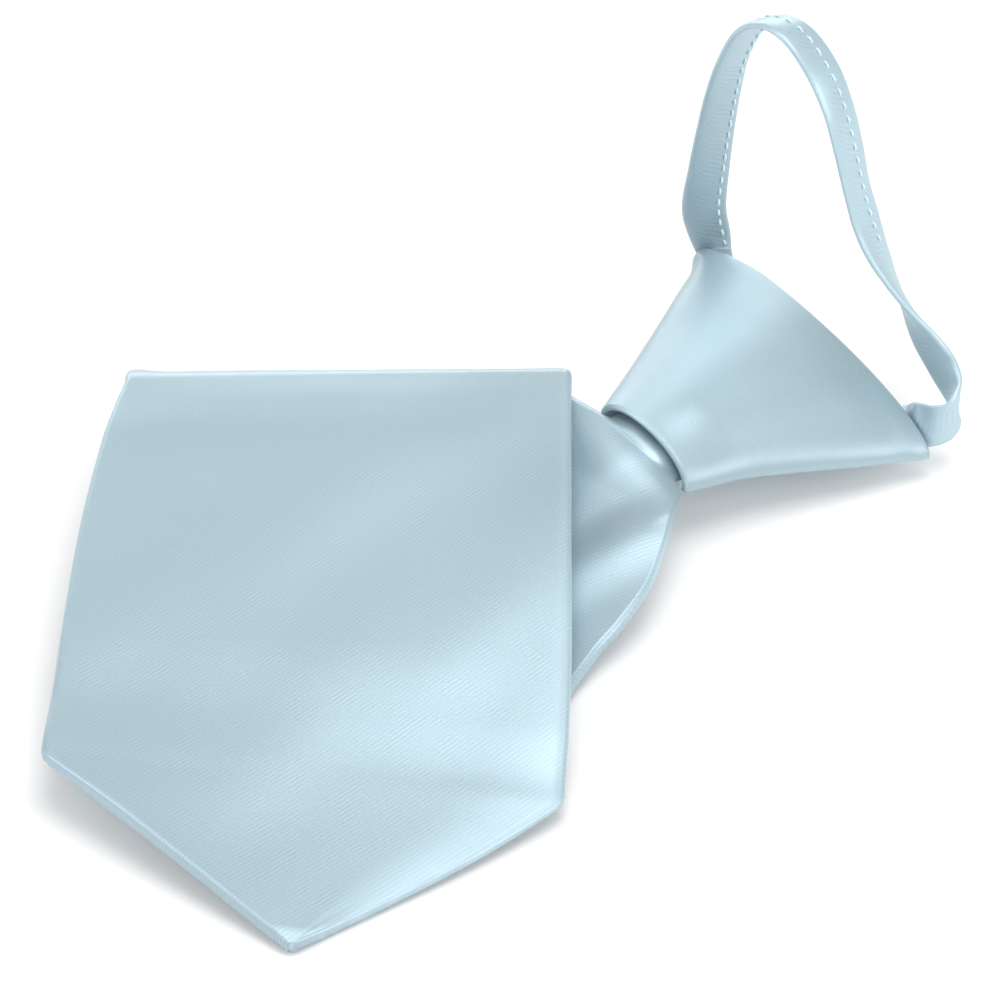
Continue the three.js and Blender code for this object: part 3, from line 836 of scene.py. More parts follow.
@dataclass
class Knot:
    """The wrapped sleeve above the blade, with soft drag folds in its front."""

    rings: int = 110
    around: int = 168
    lip_points: int = 9
    girth_in_half_widths: float = 4.2

    def relief(self, run: Array, angle: Array) -> Array:
        """Drag folds of the front, in millimetres outwards.

        Args:
            run: place along the knot.
            angle: place round it.

        Returns:
            Long shallow bells that run from the mouth towards the wide end and fade at both.
        """
        side = np.cos(angle)
        front = smoothstep(np.sin(angle), 0.0, 0.35)
        ends = smoothstep(run, 0.0, 0.25) * (1.0 - smoothstep(run, 0.8, 1.0))
        folds = bumps(side + 0.10 * run, ((0.80, 0.10, 0.36), (-0.12, -0.72, 0.14)))
        folds = folds + 0.10 * bump_at(side - 0.35 * run, 0.30, 0.20)
        soft = 0.03 * np.sin(9.0 * side + 5.0 * run) + 0.02 * np.sin(13.0 * run - 6.0 * side)
        return (folds + soft) * front * ends

    def tone(self, run: Array, angle: Array) -> Array:
        """Painted light and shade of the front: painted shade along the left edge, a wide painted
        highlight band inside it, and painted shade over the right half.
        """
        side = np.cos(angle) + 0.12 * (run - 0.5)
        painted_highlight_band = 0.78 * bump_at(side, -0.42, 0.28) * (0.6 + 0.4 * smoothstep(run, 0.1, 0.7))
        # Painted shade along the knot's left edge.
        edge = 0.34 * smoothstep(-side, 0.76, 0.95)
        painted_shade_right = 0.14 * smoothstep(side, 0.1, 0.5) + 0.22 * smoothstep(side, 0.55, 0.95)
        return (painted_highlight_band - edge - painted_shade_right) * smoothstep(np.sin(angle), -0.1, 0.3)

    def build(self) -> bpy.types.Object:
        """Makes the sleeve as one closed skin.

        Its profile runs along the outside from the mouth to the wide end, round a half circle at the
        lip, back along the inside, and round the other lip. It is carried round the flattened ring.

        Returns:
            The knot's cloth.
        """
        shrink = KNOT.wall / 2.0 / KNOT.length
        run = np.linspace(shrink, 1.0 - shrink, self.rings)
        turn = np.linspace(0.0, math.pi, self.lip_points + 2)[1:-1]
        depth = KNOT.wall / 2.0 * (1.0 - np.cos(turn))
        reach = shrink * np.sin(turn)
        runs = np.concatenate([run, 1.0 - shrink + reach, run[::-1], shrink - reach])
        inside = np.full(self.rings, KNOT.wall)
        inset = np.concatenate([np.zeros(self.rings), depth, inside, depth[::-1]])
        angle = -2.0 * math.pi * np.arange(self.around) / self.around
        grid_run, grid_angle = np.meshgrid(runs, angle, indexing="ij")
        grid_inset = np.broadcast_to(inset[:, None], grid_run.shape)
        outside = grid_inset < KNOT.wall / 2.0
        lifted = grid_inset - self.relief(grid_run, grid_angle) * outside
        points = KNOT.ring(grid_run, lifted, grid_angle)
        # Painted highlight and shade on the outside of the knot, none on the inside.
        tone = np.where(outside, self.tone(grid_run, grid_angle), 0.0).reshape(-1)
        quads, corners = grid_quads(len(runs), self.around, True, True)
        along = np.concatenate([[0.0], np.cumsum(np.linalg.norm(np.diff(points[:, 0], axis=0), axis=1))])
        along = np.append(along, along[-1] + 1.0)
        turn_share = np.arange(self.around + 1) / self.around
        girth = self.girth_in_half_widths * KNOT.half_width(np.append(runs, runs[0]))
        uv = flat_uv(turn_share[None, :] * girth[:, None], along[:, None])
        uv = uv[corners[..., 0], corners[..., 1]]
        return new_mesh_object("knot_cloth", points.reshape(-1, 3), quads, uv, tone)


# Neck strap


@dataclass
class NeckStrap:
    """The stitched ribbon, from inside the knot's left corner, round the loop, into its right corner."""

    width: float = 7.0
    thick: float = 1.4
    height: float = 63.0
    span: float = 50.0
    left_pinch: float = 0.7
    side_power: float = 3.0
    face_power: float = 2.6
    per_span: int = 14
    around: int = 36
    stitch_pitch: float = 2.22
    stitch_length: float = 1.45
    stitch_width: float = 0.46
    stitch_rise: float = 0.22
    stitch_sink: float = 0.12
    stitch_steps: int = 7
    stitch_ring: int = 8
    rows: tuple[tuple[float, ...], ...] = (
        # across, out, up, pinch, width across, width out, width up
        (-0.012, 0.03, 0.21, 0.80, 0.62, 0.72, -0.22),
        (-0.028, 0.02, 0.26, 0.93, 0.60, 0.75, -0.20),
        (-0.034, 0.00, 0.34, 1.00, 0.55, 0.80, -0.15),
        (-0.016, 0.00, 0.47, 1.00, 0.35, 0.90, -0.20),
        (0.010, 0.00, 0.60, 1.00, 0.20, 0.95, -0.20),
        (0.040, 0.00, 0.72, 1.00, 0.10, 0.97, -0.20),
        (0.08, 0.00, 0.83, 1.00, 0.00, 0.98, -0.20),
        (0.16, 0.00, 0.95, 1.00, 0.00, 0.98, -0.20),
        (0.25, 0.00, 1.00, 1.00, 0.00, 0.98, -0.20),
        (0.35, 0.00, 1.00, 1.00, 0.00, 0.98, -0.20),
        (0.46, 0.00, 0.94, 1.00, 0.00, 0.98, -0.20),
        (0.53, 0.00, 0.86, 1.00, -0.08, 0.96, -0.24),
        (0.58, 0.00, 0.76, 1.00, -0.12, 0.94, -0.28),
        (0.62, 0.00, 0.66, 1.00, -0.18, 0.92, -0.30),
        (0.654, 0.004, 0.587, 1.00, -0.20, 0.96, -0.20),
        (0.690, 0.010, 0.524, 1.00, -0.32, 0.93, -0.18),
        (0.734, 0.030, 0.448, 1.00, -0.55, 0.80, -0.22),
        (0.790, 0.060, 0.356, 1.00, -0.80, 0.50, -0.33),
        (0.850, 0.080, 0.281, 1.00, -0.77, 0.12, -0.62),
        (0.920, 0.088, 0.225, 1.00, -0.64, -0.02, -0.77),
        (0.988, 0.070, 0.184, 1.00, -0.42, 0.12, -0.88),
        (1.026, 0.032, 0.159, 1.00, -0.16, 0.40, -0.90),
        (1.012, -0.004, 0.135, 1.00, 0.25, 0.25, -0.93),
        (0.964, -0.028, 0.113, 1.00, 0.60, -0.10, -0.78),
    )
    left_tuck: tuple[tuple[float, ...], ...] = ((0.80, -0.84, 0.7, 0.0), (1.00, -0.92, 0.5, 0.0))
    right_tuck: tuple[tuple[float, ...], ...] = ((1.00, 0.70, 1.2, 18.0), (0.88, 0.58, 1.2, 38.0))
    frames: dict[str, Array] = field(default_factory=dict)

    def tuck(self, rows: tuple[tuple[float, ...], ...], pinch: float) -> Array:
        """Stations between the knot's walls.

        Args:
            rows: run, side as a share of the half width, lift and turn of each station.
            pinch: share of the ribbon's width that is left there.

        Returns:
            (n, 7) point, width direction and pinch.
        """
        run, side, lift, turn = np.array(rows).T
        point = KNOT.point(run, side * KNOT.half_width(run), lift)
        angle = np.radians(turn)[:, None]
        width = np.cos(angle) * KNOT.across - np.sin(angle) * KNOT.axis
        return np.hstack([point, width, np.full((len(rows), 1), pinch)])

    def stations(self) -> Array:
        """All stations of the ribbon: point, width direction and pinch."""
        table = np.array(self.rows)
        across_dir = heading(KNOT.direction - 92.3)
        out_dir = heading(KNOT.direction - 2.3)
        start = KNOT.point(np.array(1.0), np.array(-KNOT.width / 2.0), np.array(0.0))
        start = np.array([start[0], start[1], 0.0])
        up = np.array([0.0, 0.0, 1.0])
        point = start + table[:, :1] * self.span * across_dir + table[:, 1:2] * self.span * out_dir
        point = point + table[:, 2:3] * self.height * up
        width = unit(table[:, 4:5] * across_dir + table[:, 5:6] * out_dir + table[:, 6:7] * up)
        loop = np.hstack([point, width, table[:, 3:4]])
        left, right = self.tuck(self.left_tuck, self.left_pinch), self.tuck(self.right_tuck, 1.0)
        return np.vstack([left, loop, right])

    def trace(self) -> None:
        """Works out the ribbon's middle line, width, face and half width at every step."""
        stations = self.stations()
        centre = catmull_rom(stations[:, :3], self.per_span, 0.5)
        width = catmull_rom(stations[:, 3:6], self.per_span, 0.0)
        pinch = catmull_rom(stations[:, 6:], self.per_span, 0.0)[:, 0]
        along = unit(np.gradient(centre, axis=0))
        width = unit(width - along * np.sum(width * along, axis=1, keepdims=True))
        face = unit(np.cross(along, width))
        run = np.concatenate([[0.0], np.cumsum(np.linalg.norm(np.diff(centre, axis=0), axis=1))])
        self.frames = {
            "centre": centre,
            "along": along,
            "width": width,
            "face": face,
            "half": self.width * pinch / 2.0,
            "run": run,
        }

    def build(self) -> bpy.types.Object:
        """Makes the ribbon: a soft rounded bar section carried along its middle line.

        The section is a superellipse of power 3.0 across and 2.6 through, and one face has a small step
        where the cloth laps over itself.

        Returns:
            The strap's cloth.
        """
        f = self.frames
        angle = 2.0 * math.pi * (np.arange(self.around) + 0.5) / self.around
        side = signed_power(np.cos(angle), 2.0 / self.side_power)
        rise = signed_power(np.sin(angle), 2.0 / self.face_power)
        lap = np.where(rise > 0.2, -0.10 * smoothstep(side, 0.12, 0.22), 0.0)
        rim = 0.10 * bump_at(np.abs(side), 0.93, 0.12)
        depth = (rise * (1.0 + rim) + lap) * self.thick / 2.0
        sections = (
            f["centre"][:, None]
            + f["width"][:, None] * (side[None, :] * f["half"][:, None])[..., None]
            + f["face"][:, None] * depth[None, :, None]
        )
        girth = np.linspace(0.0, 2.0 * (self.width + self.thick), self.around + 1)
        uv = flat_uv(girth, f["run"][:, None])
        # Painted light along the strap: painted shade on the left leg, and a painted highlight from the
        # top of the loop to its right end.
        share = f["run"][:, None] / f["run"][-1]
        tone = 0.26 * smoothstep(share, 0.26, 0.42) - 0.14 * (1.0 - smoothstep(share, 0.12, 0.34))
        tone = np.repeat(tone, self.around, axis=1)
        return loft("strap_cloth", sections[:, ::-1], uv[:, ::-1], tone)

    def stitches(self, side: Side, place: float, start: float, end: float) -> bpy.types.Object:
        """Makes a row of sewn stitches on one face of the ribbon.

        Each stitch is a small thread: a ring carried along an arch that dips into the cloth at both ends.

        Args:
            side: which face the row is on.
            place: where it runs, as a share of the half width.
            start: run of the first stitch in millimetres.
            end: run of the last one.

        Returns:
            The row of stitches as one mesh.
        """
        f = self.frames
        starts = np.arange(start, end, self.stitch_pitch)
        steps, ring = self.stitch_steps, self.stitch_ring
        share = np.linspace(0.0, 1.0, steps)
        run = starts[:, None] + share[None, :] * self.stitch_length
        sign = float(side.value)

        def sample(name: str) -> Array:
            """A frame's values at every step of every stitch."""
            values = f[name]
            if values.ndim == 1:
                return np.interp(run, f["run"], values)
            return np.stack([np.interp(run, f["run"], values[:, k]) for k in range(3)], axis=-1)

        centre, width, face = sample("centre"), unit(sample("width")), unit(sample("face"))
        arch = self.thick / 2.0 + self.stitch_rise * np.sin(math.pi * share)[None, :] - self.stitch_sink
        line = centre + width * (place * sample("half"))[..., None] + face * (sign * arch)[..., None]
        angle = 2.0 * math.pi * np.arange(ring) / ring
        taper = (0.35 + 0.65 * np.sin(math.pi * np.clip(share, 0.04, 0.96)) ** 0.5)[None, :, None]
        radius = self.stitch_width / 2.0
        offset_w = radius * np.cos(angle) * taper
        offset_f = radius * 0.8 * np.sin(angle) * taper * sign
        points = line[:, :, None] + width[:, :, None] * offset_w[..., None]
        points = points + face[:, :, None] * offset_f[..., None]
        quads, _ = grid_quads(steps, ring, False, True)
        faces = np.concatenate([quads, *cap_quads(steps, ring)])
        if side is Side.OUTER:
            faces = faces[:, ::-1]
        faces = copies(faces, len(starts), steps * ring)
        return new_mesh_object(f"strap_stitches_{side.name.lower()}", points.reshape(-1, 3), faces)


# Zip


@dataclass
class Zip:
    """The zip on the underside of the neck: tape, two rows of teeth, and a slider with its pull."""

    start: float = 2.0
    length: float = 28.0
    width: float = 9.0
    thick: float = 0.7
    gap: float = 0.5
    tooth_pitch: float = 1.25
    tooth_size: tuple[float, float, float] = (0.75, 1.9, 0.9)
    slider_place: float = 9.0
    slider_size: tuple[float, float, float] = (9.0, 6.6, 1.5)
    bridge_size: tuple[float, float, float] = (5.0, 1.8, 0.7)
    pull_reach: float = 8.0
    pull_size: tuple[float, float, float] = (11.0, 3.2, 0.8)
    corner_power: float = 0.5

    def frame_at(self, blade: Blade, distance: Array) -> tuple[Array, Array, Array, Array]:
        """Middle line and directions of the tape under the neck.

        Args:
            blade: the blade whose neck carries it.
            distance: millimetres along the neck.

        Returns:
            Points under the cloth, and unit vectors along, to the right and up out of the cloth.
        """
        shape = (len(distance), 3)
        u = np.broadcast_to(np.array([[-0.2, 0.0, 0.2]]), shape)
        share = distance[:, None] / blade.neck_length
        places = (share, share + 1.0 / blade.neck_length)
        row, ahead = (blade.neck(np.broadcast_to(place, shape), u) for place in places)
        side = unit(row[:, 2] - row[:, 0])
        along = unit(ahead[:, 1] - row[:, 1])
        up = unit(np.cross(along, side))
        return row[:, 1] - up * (blade.cloth / 2.0 + self.gap), along, side, up

    def tape(self, blade: Blade) -> bpy.types.Object:
        """Makes the tape: a thin rounded slab with a thicker cord down the middle of each half."""
        distance = self.start + np.linspace(0.0, self.length, 60)
        centre, _, side, up = self.frame_at(blade, distance)
        columns = 40
        angle = 2.0 * math.pi * (np.arange(columns) + 0.5) / columns
        x = signed_power(np.cos(angle), self.corner_power)
        z = signed_power(np.sin(angle), self.corner_power)
        cord = 1.0 + 0.5 * bump_at(np.abs(x), 0.22, 0.08)
        depth = -self.thick / 2.0 + z * cord * self.thick / 2.0
        points = (
            centre[:, None]
            + side[:, None] * (x * self.width / 2.0)[None, :, None]
            + up[:, None] * depth[None, :, None]
        )
        girth = np.linspace(0.0, 2.0 * self.width, columns + 1)
        uv = flat_uv(girth, distance[:, None])
        return loft("zip_tape", points[:, ::-1], uv[:, ::-1])

    def blocks(
        self,
        name: str,
        centre: Array,
        along: Array,
        side: Array,
        up: Array,
        size: tuple[float, float, float],
    ) -> bpy.types.Object:
        """Makes a row of rounded blocks, each a superellipsoid of power 4 on a small grid.

        Args:
            name: the piece's name.
            centre: (n, 3) middles.
            along: (n, 3) directions of the blocks' length.
            side: (n, 3) directions of their width.
            up: (n, 3) directions of their height.
            size: length, width and height.

        Returns:
            All the blocks as one mesh.
        """
        rows, columns = 8, 12
        lat = np.linspace(-0.47, 0.47, rows) * math.pi
        lon = 2.0 * math.pi * np.arange(columns) / columns
        cos_lat, sin_lat, cos_lon, sin_lon = (
            signed_power(value, self.corner_power)
            for value in (np.cos(lat), np.sin(lat), np.cos(lon), np.sin(lon))
        )
        a = cos_lat[:, None] * cos_lon[None, :] * size[0] / 2.0
        b = cos_lat[:, None] * sin_lon[None, :] * size[1] / 2.0
        c = np.broadcast_to(sin_lat[:, None], a.shape) * size[2] / 2.0
        points = (
            centre[:, None, None]
            + along[:, None, None] * a[None, ..., None]
            + side[:, None, None] * b[None, ..., None]
            + up[:, None, None] * c[None, ..., None]
        )
        quads, _ = grid_quads(rows, columns, False, True)
        one = np.concatenate([quads, *cap_quads(rows, columns)])
        return new_mesh_object(name, points.reshape(-1, 3), copies(one, len(centre), rows * columns))

    def teeth(self, blade: Blade) -> bpy.types.Object:
        """Makes the two rows of teeth, each half a pitch from the other."""
        distance = self.start + 1.2 + np.arange(0.0, self.length - 2.4, self.tooth_pitch / 2.0)
        centre, along, side, up = self.frame_at(blade, distance)
        sign = np.where(np.arange(len(distance)) % 2 == 0, 1.0, -1.0)[:, None]
        middle = centre + side * sign * 0.55 - up * (self.thick + 0.15)
        return self.blocks("zip_teeth", middle, along, side, up, self.tooth_size)

    def slider(self, blade: Blade) -> list[bpy.types.Object]:
        """Makes the slider's body with its bridge, and the pull that lies along the tape."""
        distance = np.array([self.slider_place])
        centre, along, side, up = self.frame_at(blade, distance)
        body = self.blocks("zip_slider", centre - up * 1.7, along, side, up, self.slider_size)
        bridge = self.blocks("zip_bridge", centre - up * 2.6, along, side, up, self.bridge_size)
        end, end_along, end_side, end_up = self.frame_at(blade, distance + self.pull_reach)
        pull = self.blocks("zip_pull", end - end_up * 1.9, end_along, end_side, end_up, self.pull_size)
        return [body, bridge, pull]


# Finishes


def set_input(tree: bpy.types.NodeTree, socket: bpy.types.NodeSocket, value: object) -> None:
    """Links another node's socket to an input, or sets the input to a value."""
    if isinstance(value, bpy.types.NodeSocket):
        tree.links.new(value, socket)
    else:
        socket.default_value = value


def node(
    tree: bpy.types.NodeTree, kind: str, inputs: dict[str, object] | None = None, **settings: object
) -> bpy.types.Node:
    """Adds a node, then sets its properties and its inputs.

    Args:
        tree: the node tree.
        kind: the node's type name.
        inputs: sockets to link or values to set, by the input's name.
        settings: properties by name.

    Returns:
        The node.
    """
    made = tree.nodes.new(kind)
    for name, value in settings.items():
        setattr(made, name, value)
    for name, value in (inputs or {}).items():
        set_input(tree, made.inputs[name], value)
    return made


def math_node(tree: bpy.types.NodeTree, operation: str, *values: object) -> bpy.types.NodeSocket:
    """Adds a Math node whose inputs are sockets or numbers, and gives its result's socket."""
    made = node(tree, "ShaderNodeMath", operation=operation)
    for socket, value in zip(made.inputs, values):
        set_input(tree, socket, value)
    return made.outputs[0]


def new_group(
    name: str, inputs: dict[str, tuple[str, object]], outputs: dict[str, str]
) -> bpy.types.NodeTree:
    """Starts a shader node group.

    Args:
        name: the group's name.
        inputs: socket names with their types and default values.
        outputs: socket names with their types.

    Returns:
        The group, with its Group Input and Group Output nodes.
    """
    group = bpy.data.node_groups.new(name, "ShaderNodeTree")
    for label, (kind, value) in inputs.items():
        socket = group.interface.new_socket(name=label, in_out="INPUT", socket_type=kind)
        if value is not None:
            socket.default_value = value
    for label, kind in outputs.items():
        group.interface.new_socket(name=label, in_out="OUTPUT", socket_type=kind)
    node(group, "NodeGroupInput", name="in")
    node(group, "NodeGroupOutput", name="out")
    return group


def twill_group() -> bpy.types.NodeTree:
    """Builds the satin twill: fine slanted ridges, broken by the cross threads.

    The ridge is a sine of (u cos A + v sin A) over the pitch, shaken by noise and strong only in
    patches. The grain is noise drawn out along the ridges, as the long floats of satin are.

    Returns:
        A group that gives a height, a mask of the ridges and a grain.
    """
    group = new_group(
        "satin_twill",
        {
            "Cloth": ("NodeSocketVector", None),
            "Pitch": ("NodeSocketFloat", 0.00065),
            "Slant": ("NodeSocketFloat", 45.0),
        },
        {"Height": "NodeSocketFloat", "Ridge": "NodeSocketFloat", "Grain": "NodeSocketFloat"},
    )
    start, end = group.nodes["in"], group.nodes["out"]
    cloth = start.outputs["Cloth"]

    def times(a: object, b: object) -> bpy.types.NodeSocket:
        """Product of two sockets or numbers."""
        return math_node(group, "MULTIPLY", a, b)

    split = node(group, "ShaderNodeSeparateXYZ", {"Vector": cloth})
    u, v = split.outputs[0], split.outputs[1]
    angle = math_node(group, "RADIANS", start.outputs["Slant"])
    cos, sin = math_node(group, "COSINE", angle), math_node(group, "SINE", angle)
    across = math_node(group, "ADD", times(u, cos), times(v, sin))
    along = math_node(group, "SUBTRACT", times(v, cos), times(u, sin))
    shake, patch = (
        node(
            group,
            "ShaderNodeTexNoise",
            {"Vector": cloth, "Scale": scale, "Detail": 2.0},
            noise_dimensions="3D",
        )
        for scale in (900.0, 260.0)
    )
    turn = times(math_node(group, "DIVIDE", across, start.outputs["Pitch"]), 2.0 * math.pi)
    wave = math_node(group, "SINE", math_node(group, "ADD", turn, times(shake.outputs["Fac"], 2.4)))
    limits = {"From Min": 0.38, "From Max": 0.66, "To Min": 0.10, "To Max": 0.50}
    strength = node(group, "ShaderNodeMapRange", {"Value": patch.outputs["Fac"], **limits})
    ridge = math_node(group, "MULTIPLY_ADD", wave, strength.outputs["Result"], 0.5)
    streak = node(group, "ShaderNodeCombineXYZ", {"X": times(across, 5200.0), "Y": times(along, 1900.0)})
    grain = node(
        group,
        "ShaderNodeTexNoise",
        {"Vector": streak.outputs[0], "Scale": 1.0, "Detail": 2.0, "Roughness": 0.75},
        noise_dimensions="2D",
    )
    height = math_node(group, "MULTIPLY_ADD", grain.outputs["Fac"], 1.4, ridge)
    set_input(group, end.inputs["Height"], height)
    set_input(group, end.inputs["Ridge"], ridge)
    set_input(group, end.inputs["Grain"], grain.outputs["Fac"])
    return group


def shade_group() -> bpy.types.NodeTree:
    """Builds the broad tone of satin: soft slanted bands and clouds a few centimetres across.

    Returns:
        A group that gives one value round 0.5.
    """
    group = new_group(
        "satin_tone",
        {"Place": ("NodeSocketVector", None), "Size": ("NodeSocketFloat", 22.0)},
        {"Tone": "NodeSocketFloat"},
    )
    start, end = group.nodes["in"], group.nodes["out"]
    turn = node(
        group,
        "ShaderNodeMapping",
        {
            "Vector": start.outputs["Place"],
            "Rotation": (0.0, 0.0, math.radians(-33.0)),
            "Scale": (0.45, 1.6, 1.0),
        },
    )
    cloud = node(
        group,
        "ShaderNodeTexNoise",
        {"Vector": turn.outputs["Vector"], "Scale": start.outputs["Size"], "Detail": 1.5},
        noise_dimensions="3D",
    )
    set_input(group, end.inputs["Tone"], cloud.outputs["Fac"])
    return group


@dataclass(frozen=True)
class Satin:
    """A satin or thread finish: its two tones, weave and gloss."""

    name: str
    light: tuple[float, float, float]
    dark: tuple[float, float, float]
    pitch: float = 0.00065
    slant: float = 45.0
    weave_depth: float = 0.000008
    roughness: float = 0.40
    metallic: float = 0.42
    sheen: float = 0.05
    anisotropy: float = 0.3
    weave_contrast: float = 0.26
    tone_contrast: float = 0.14
    level: float = 0.33
    woven: bool = True

    def material(self, weave: bpy.types.NodeTree, tone: bpy.types.NodeTree) -> bpy.types.Material:
        """Builds the material.

        Args:
            weave: the shared twill group.
            tone: the shared group of broad bands.

        Returns:
            A Principled material with the weave in its colour, roughness and bump, and the painted light
            and shade of each piece's tone attribute mixed into its colour.
        """
        made = bpy.data.materials.new(self.name)
        made.use_nodes = True
        tree = made.node_tree
        shader = tree.nodes["Principled BSDF"]
        coords = node(tree, "ShaderNodeTexCoord")
        cloth = node(tree, "ShaderNodeUVMap", uv_map="cloth")
        threads = {"Cloth": cloth.outputs["UV"], "Pitch": self.pitch, "Slant": self.slant}
        twill = node(tree, "ShaderNodeGroup", threads, node_tree=weave)
        bands = node(tree, "ShaderNodeGroup", {"Place": coords.outputs["Object"]}, node_tree=tone)
        limits = {
            "From Min": 0.32,
            "From Max": 0.68,
            "To Min": self.level - self.tone_contrast / 2.0,
            "To Max": self.level + self.tone_contrast / 2.0,
        }
        broad = node(tree, "ShaderNodeMapRange", {"Value": bands.outputs["Tone"], **limits})
        fine = math_node(tree, "MULTIPLY", twill.outputs["Ridge"], self.weave_contrast)
        grain = math_node(tree, "MULTIPLY_ADD", twill.outputs["Grain"], self.weave_contrast * 1.3, fine)
        amount = math_node(tree, "ADD", broad.outputs["Result"], grain)
        amount = math_node(tree, "SUBTRACT", amount, self.weave_contrast * 1.15)
        # Painted light and shade from the piece's tone attribute shifts the colour towards the light or
        # the dark satin colour.
        painted_light = node(tree, "ShaderNodeAttribute", attribute_type="GEOMETRY", attribute_name="tone")
        amount = math_node(tree, "ADD", amount, painted_light.outputs["Fac"])
        colours = {"A": (*self.dark, 1.0), "B": (*self.light, 1.0), "Factor": amount}
        mix = node(tree, "ShaderNodeMix", colours, data_type="RGBA")
        set_input(tree, shader.inputs["Base Color"], mix.outputs["Result"])
        rough = math_node(tree, "MULTIPLY_ADD", twill.outputs["Grain"], 0.12, self.roughness - 0.06)
        set_input(tree, shader.inputs["Roughness"], rough)
        if self.woven:
            ridges = {"Strength": 1.0, "Distance": self.weave_depth, "Height": twill.outputs["Height"]}
            bump = node(tree, "ShaderNodeBump", ridges)
            set_input(tree, shader.inputs["Normal"], bump.outputs["Normal"])
            warp = node(tree, "ShaderNodeTangent", direction_type="UV_MAP", uv_map="cloth")
            set_input(tree, shader.inputs["Tangent"], warp.outputs["Tangent"])
        shader.inputs["Metallic"].default_value = self.metallic
        shader.inputs["Sheen Weight"].default_value = self.sheen
        shader.inputs["Sheen Roughness"].default_value = 0.45
        shader.inputs["Anisotropic"].default_value = self.anisotropy
        shader.inputs["Specular IOR Level"].default_value = 0.5
        return made


SATIN_LIGHT = (0.530, 0.700, 0.778)
SATIN_DARK = (0.328, 0.434, 0.484)
SATIN = Satin("tie_satin", SATIN_LIGHT, SATIN_DARK)
STRAP_SATIN = Satin("strap_satin", SATIN_LIGHT, SATIN_DARK, weave_depth=0.000004)
THREAD = Satin("stitch_thread", (0.74, 0.88, 0.93), (0.58, 0.74, 0.81), roughness=0.5, woven=False)
TAPE = Satin("zip_tape_weave", (0.46, 0.64, 0.72), (0.36, 0.52, 0.60), slant=90.0, roughness=0.75)
TEETH = Satin("zip_teeth_nylon", (0.50, 0.66, 0.73), (0.44, 0.60, 0.68), roughness=0.3, woven=False)


# Studio


def add_floor() -> None:
    """Lays a plain pale floor under the tie."""
    mesh = bpy.data.meshes.new("floor")
    corners = [(x * FLOOR_REACH, y * FLOOR_REACH, 0.0) for x, y in ((-1, -1), (1, -1), (1, 1), (-1, 1))]
    mesh.from_pydata(corners, [], [(0, 1, 2, 3)])
    floor = bpy.data.objects.new("floor", mesh)
    floor.location = (0.0, 0.0, -FLOOR_DROP)
    bpy.context.scene.collection.objects.link(floor)
    made = bpy.data.materials.new("floor_white")
    made.use_nodes = True
    shader = made.node_tree.nodes["Principled BSDF"]
    shader.inputs["Base Color"].default_value = (0.945, 0.932, 0.928, 1.0)
    shader.inputs["Roughness"].default_value = 0.9
    shader.inputs["Specular IOR Level"].default_value = 0.1
    mesh.materials.append(made)


def add_area_light(
    name: str, place: tuple[float, float, float], size: tuple[float, float], power: float
) -> None:
    """Hangs a soft box that faces the tie.

    Args:
        name: the light's name.
        place: where it hangs, in metres.
        size: its width and height.
        power: its power in watts.
    """
    data = bpy.data.lights.new(name, "AREA")
    data.shape = "RECTANGLE"
    data.size, data.size_y = size
    data.energy = power
    light = bpy.data.objects.new(name, data)
    aim = np.array(LIGHT_AIM) - np.array(place)
    light.location = place
    light.rotation_mode = "QUATERNION"
    light.rotation_quaternion = Vector(aim).to_track_quat("-Z", "Y")
    bpy.context.scene.collection.objects.link(light)


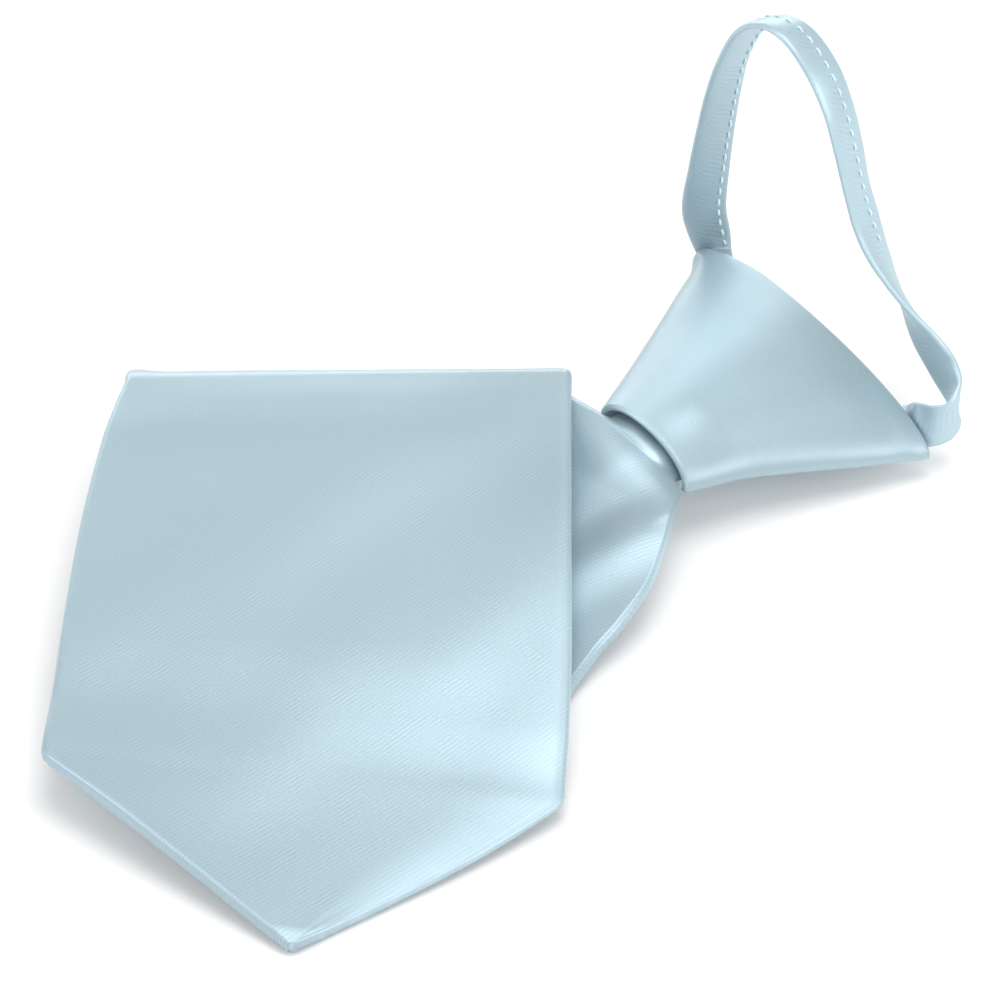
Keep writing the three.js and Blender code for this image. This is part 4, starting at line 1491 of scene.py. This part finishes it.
def add_lights() -> None:
    """Sets a white room and five soft boxes: overhead, low behind, on the two sides and in front."""
    world = bpy.data.worlds.new("studio")
    world.use_nodes = True
    background = world.node_tree.nodes["Background"]
    background.inputs["Color"].default_value = (1.0, 1.0, 1.0, 1.0)
    background.inputs["Strength"].default_value = 0.58
    bpy.context.scene.world = world
    add_area_light("overhead", (0.10, 0.02, 1.10), (0.9, 0.7), 6.0)
    add_area_light("low_behind", (-0.18, 1.10, 0.28), (1.0, 0.3), 3.2)
    add_area_light("right", (0.90, -0.35, 0.50), (0.5, 0.5), 3.0)
    add_area_light("left", (-0.95, -0.20, 0.60), (0.5, 0.5), 3.0)
    add_area_light("front", (0.20, -1.05, 0.42), (0.9, 0.4), 3.0)
    view = bpy.context.scene.view_settings
    view.view_transform = "Standard"
    view.look = "None"
    view.exposure = 0.0
    view.gamma = 1.0


def add_camera() -> None:
    """Sets the camera at the photograph's place: 37 degrees up, straight on, with a long lens."""
    data = bpy.data.cameras.new("camera")
    data.sensor_width = 36.0
    data.lens = CAMERA_LENS
    data.clip_start = 0.05
    data.clip_end = 20.0
    camera = bpy.data.objects.new("camera", data)
    camera.location = (np.array(CAMERA_PLACE) + np.array(LAYOUT_ORIGIN)) * MILLIMETRE
    camera.rotation_euler = (math.radians(90.0) - math.radians(CAMERA_ELEVATION), 0.0, 0.0)
    bpy.context.scene.collection.objects.link(camera)
    bpy.context.scene.camera = camera


def dress(obj: bpy.types.Object, material: bpy.types.Material) -> None:
    """Gives a piece its material and logs its name and number of faces."""
    obj.data.materials.clear()
    obj.data.materials.append(material)
    log.info("%s: %d faces", obj.name, len(obj.data.polygons))


def main() -> None:
    """Builds the tie, the studio and the camera in order."""
    logging.basicConfig(level=logging.INFO, format="%(name)s: %(message)s")
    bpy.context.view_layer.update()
    add_camera()
    weave, tone = twill_group(), shade_group()
    finishes = (SATIN, STRAP_SATIN, THREAD, TAPE, TEETH)
    satin, strap_satin, thread, tape_weave, nylon = (finish.material(weave, tone) for finish in finishes)

    blade = Blade()
    blade_cloth = blade.build()
    dress(blade_cloth, satin)
    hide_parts("blade")

    knot_cloth = Knot().build()
    dress(knot_cloth, satin)
    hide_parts("knot")

    strap = NeckStrap()
    strap.trace()
    strap_cloth = strap.build()
    dress(strap_cloth, strap_satin)
    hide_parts("neck_strap")
    run = float(strap.frames["run"][-1])
    inner = strap.stitches(Side.INNER, 0.62, 13.0, run - 52.0)
    outer = strap.stitches(Side.OUTER, 0.20, 13.0, run - 46.0)
    dress(inner, thread)
    dress(outer, thread)

    zipper = Zip()
    tape = zipper.tape(blade)
    dress(tape, tape_weave)
    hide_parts("zipper")
    dress(zipper.teeth(blade), nylon)
    for piece in zipper.slider(blade):
        dress(piece, nylon)

    add_floor()
    add_lights()


if __name__ == "__main__":
    main()
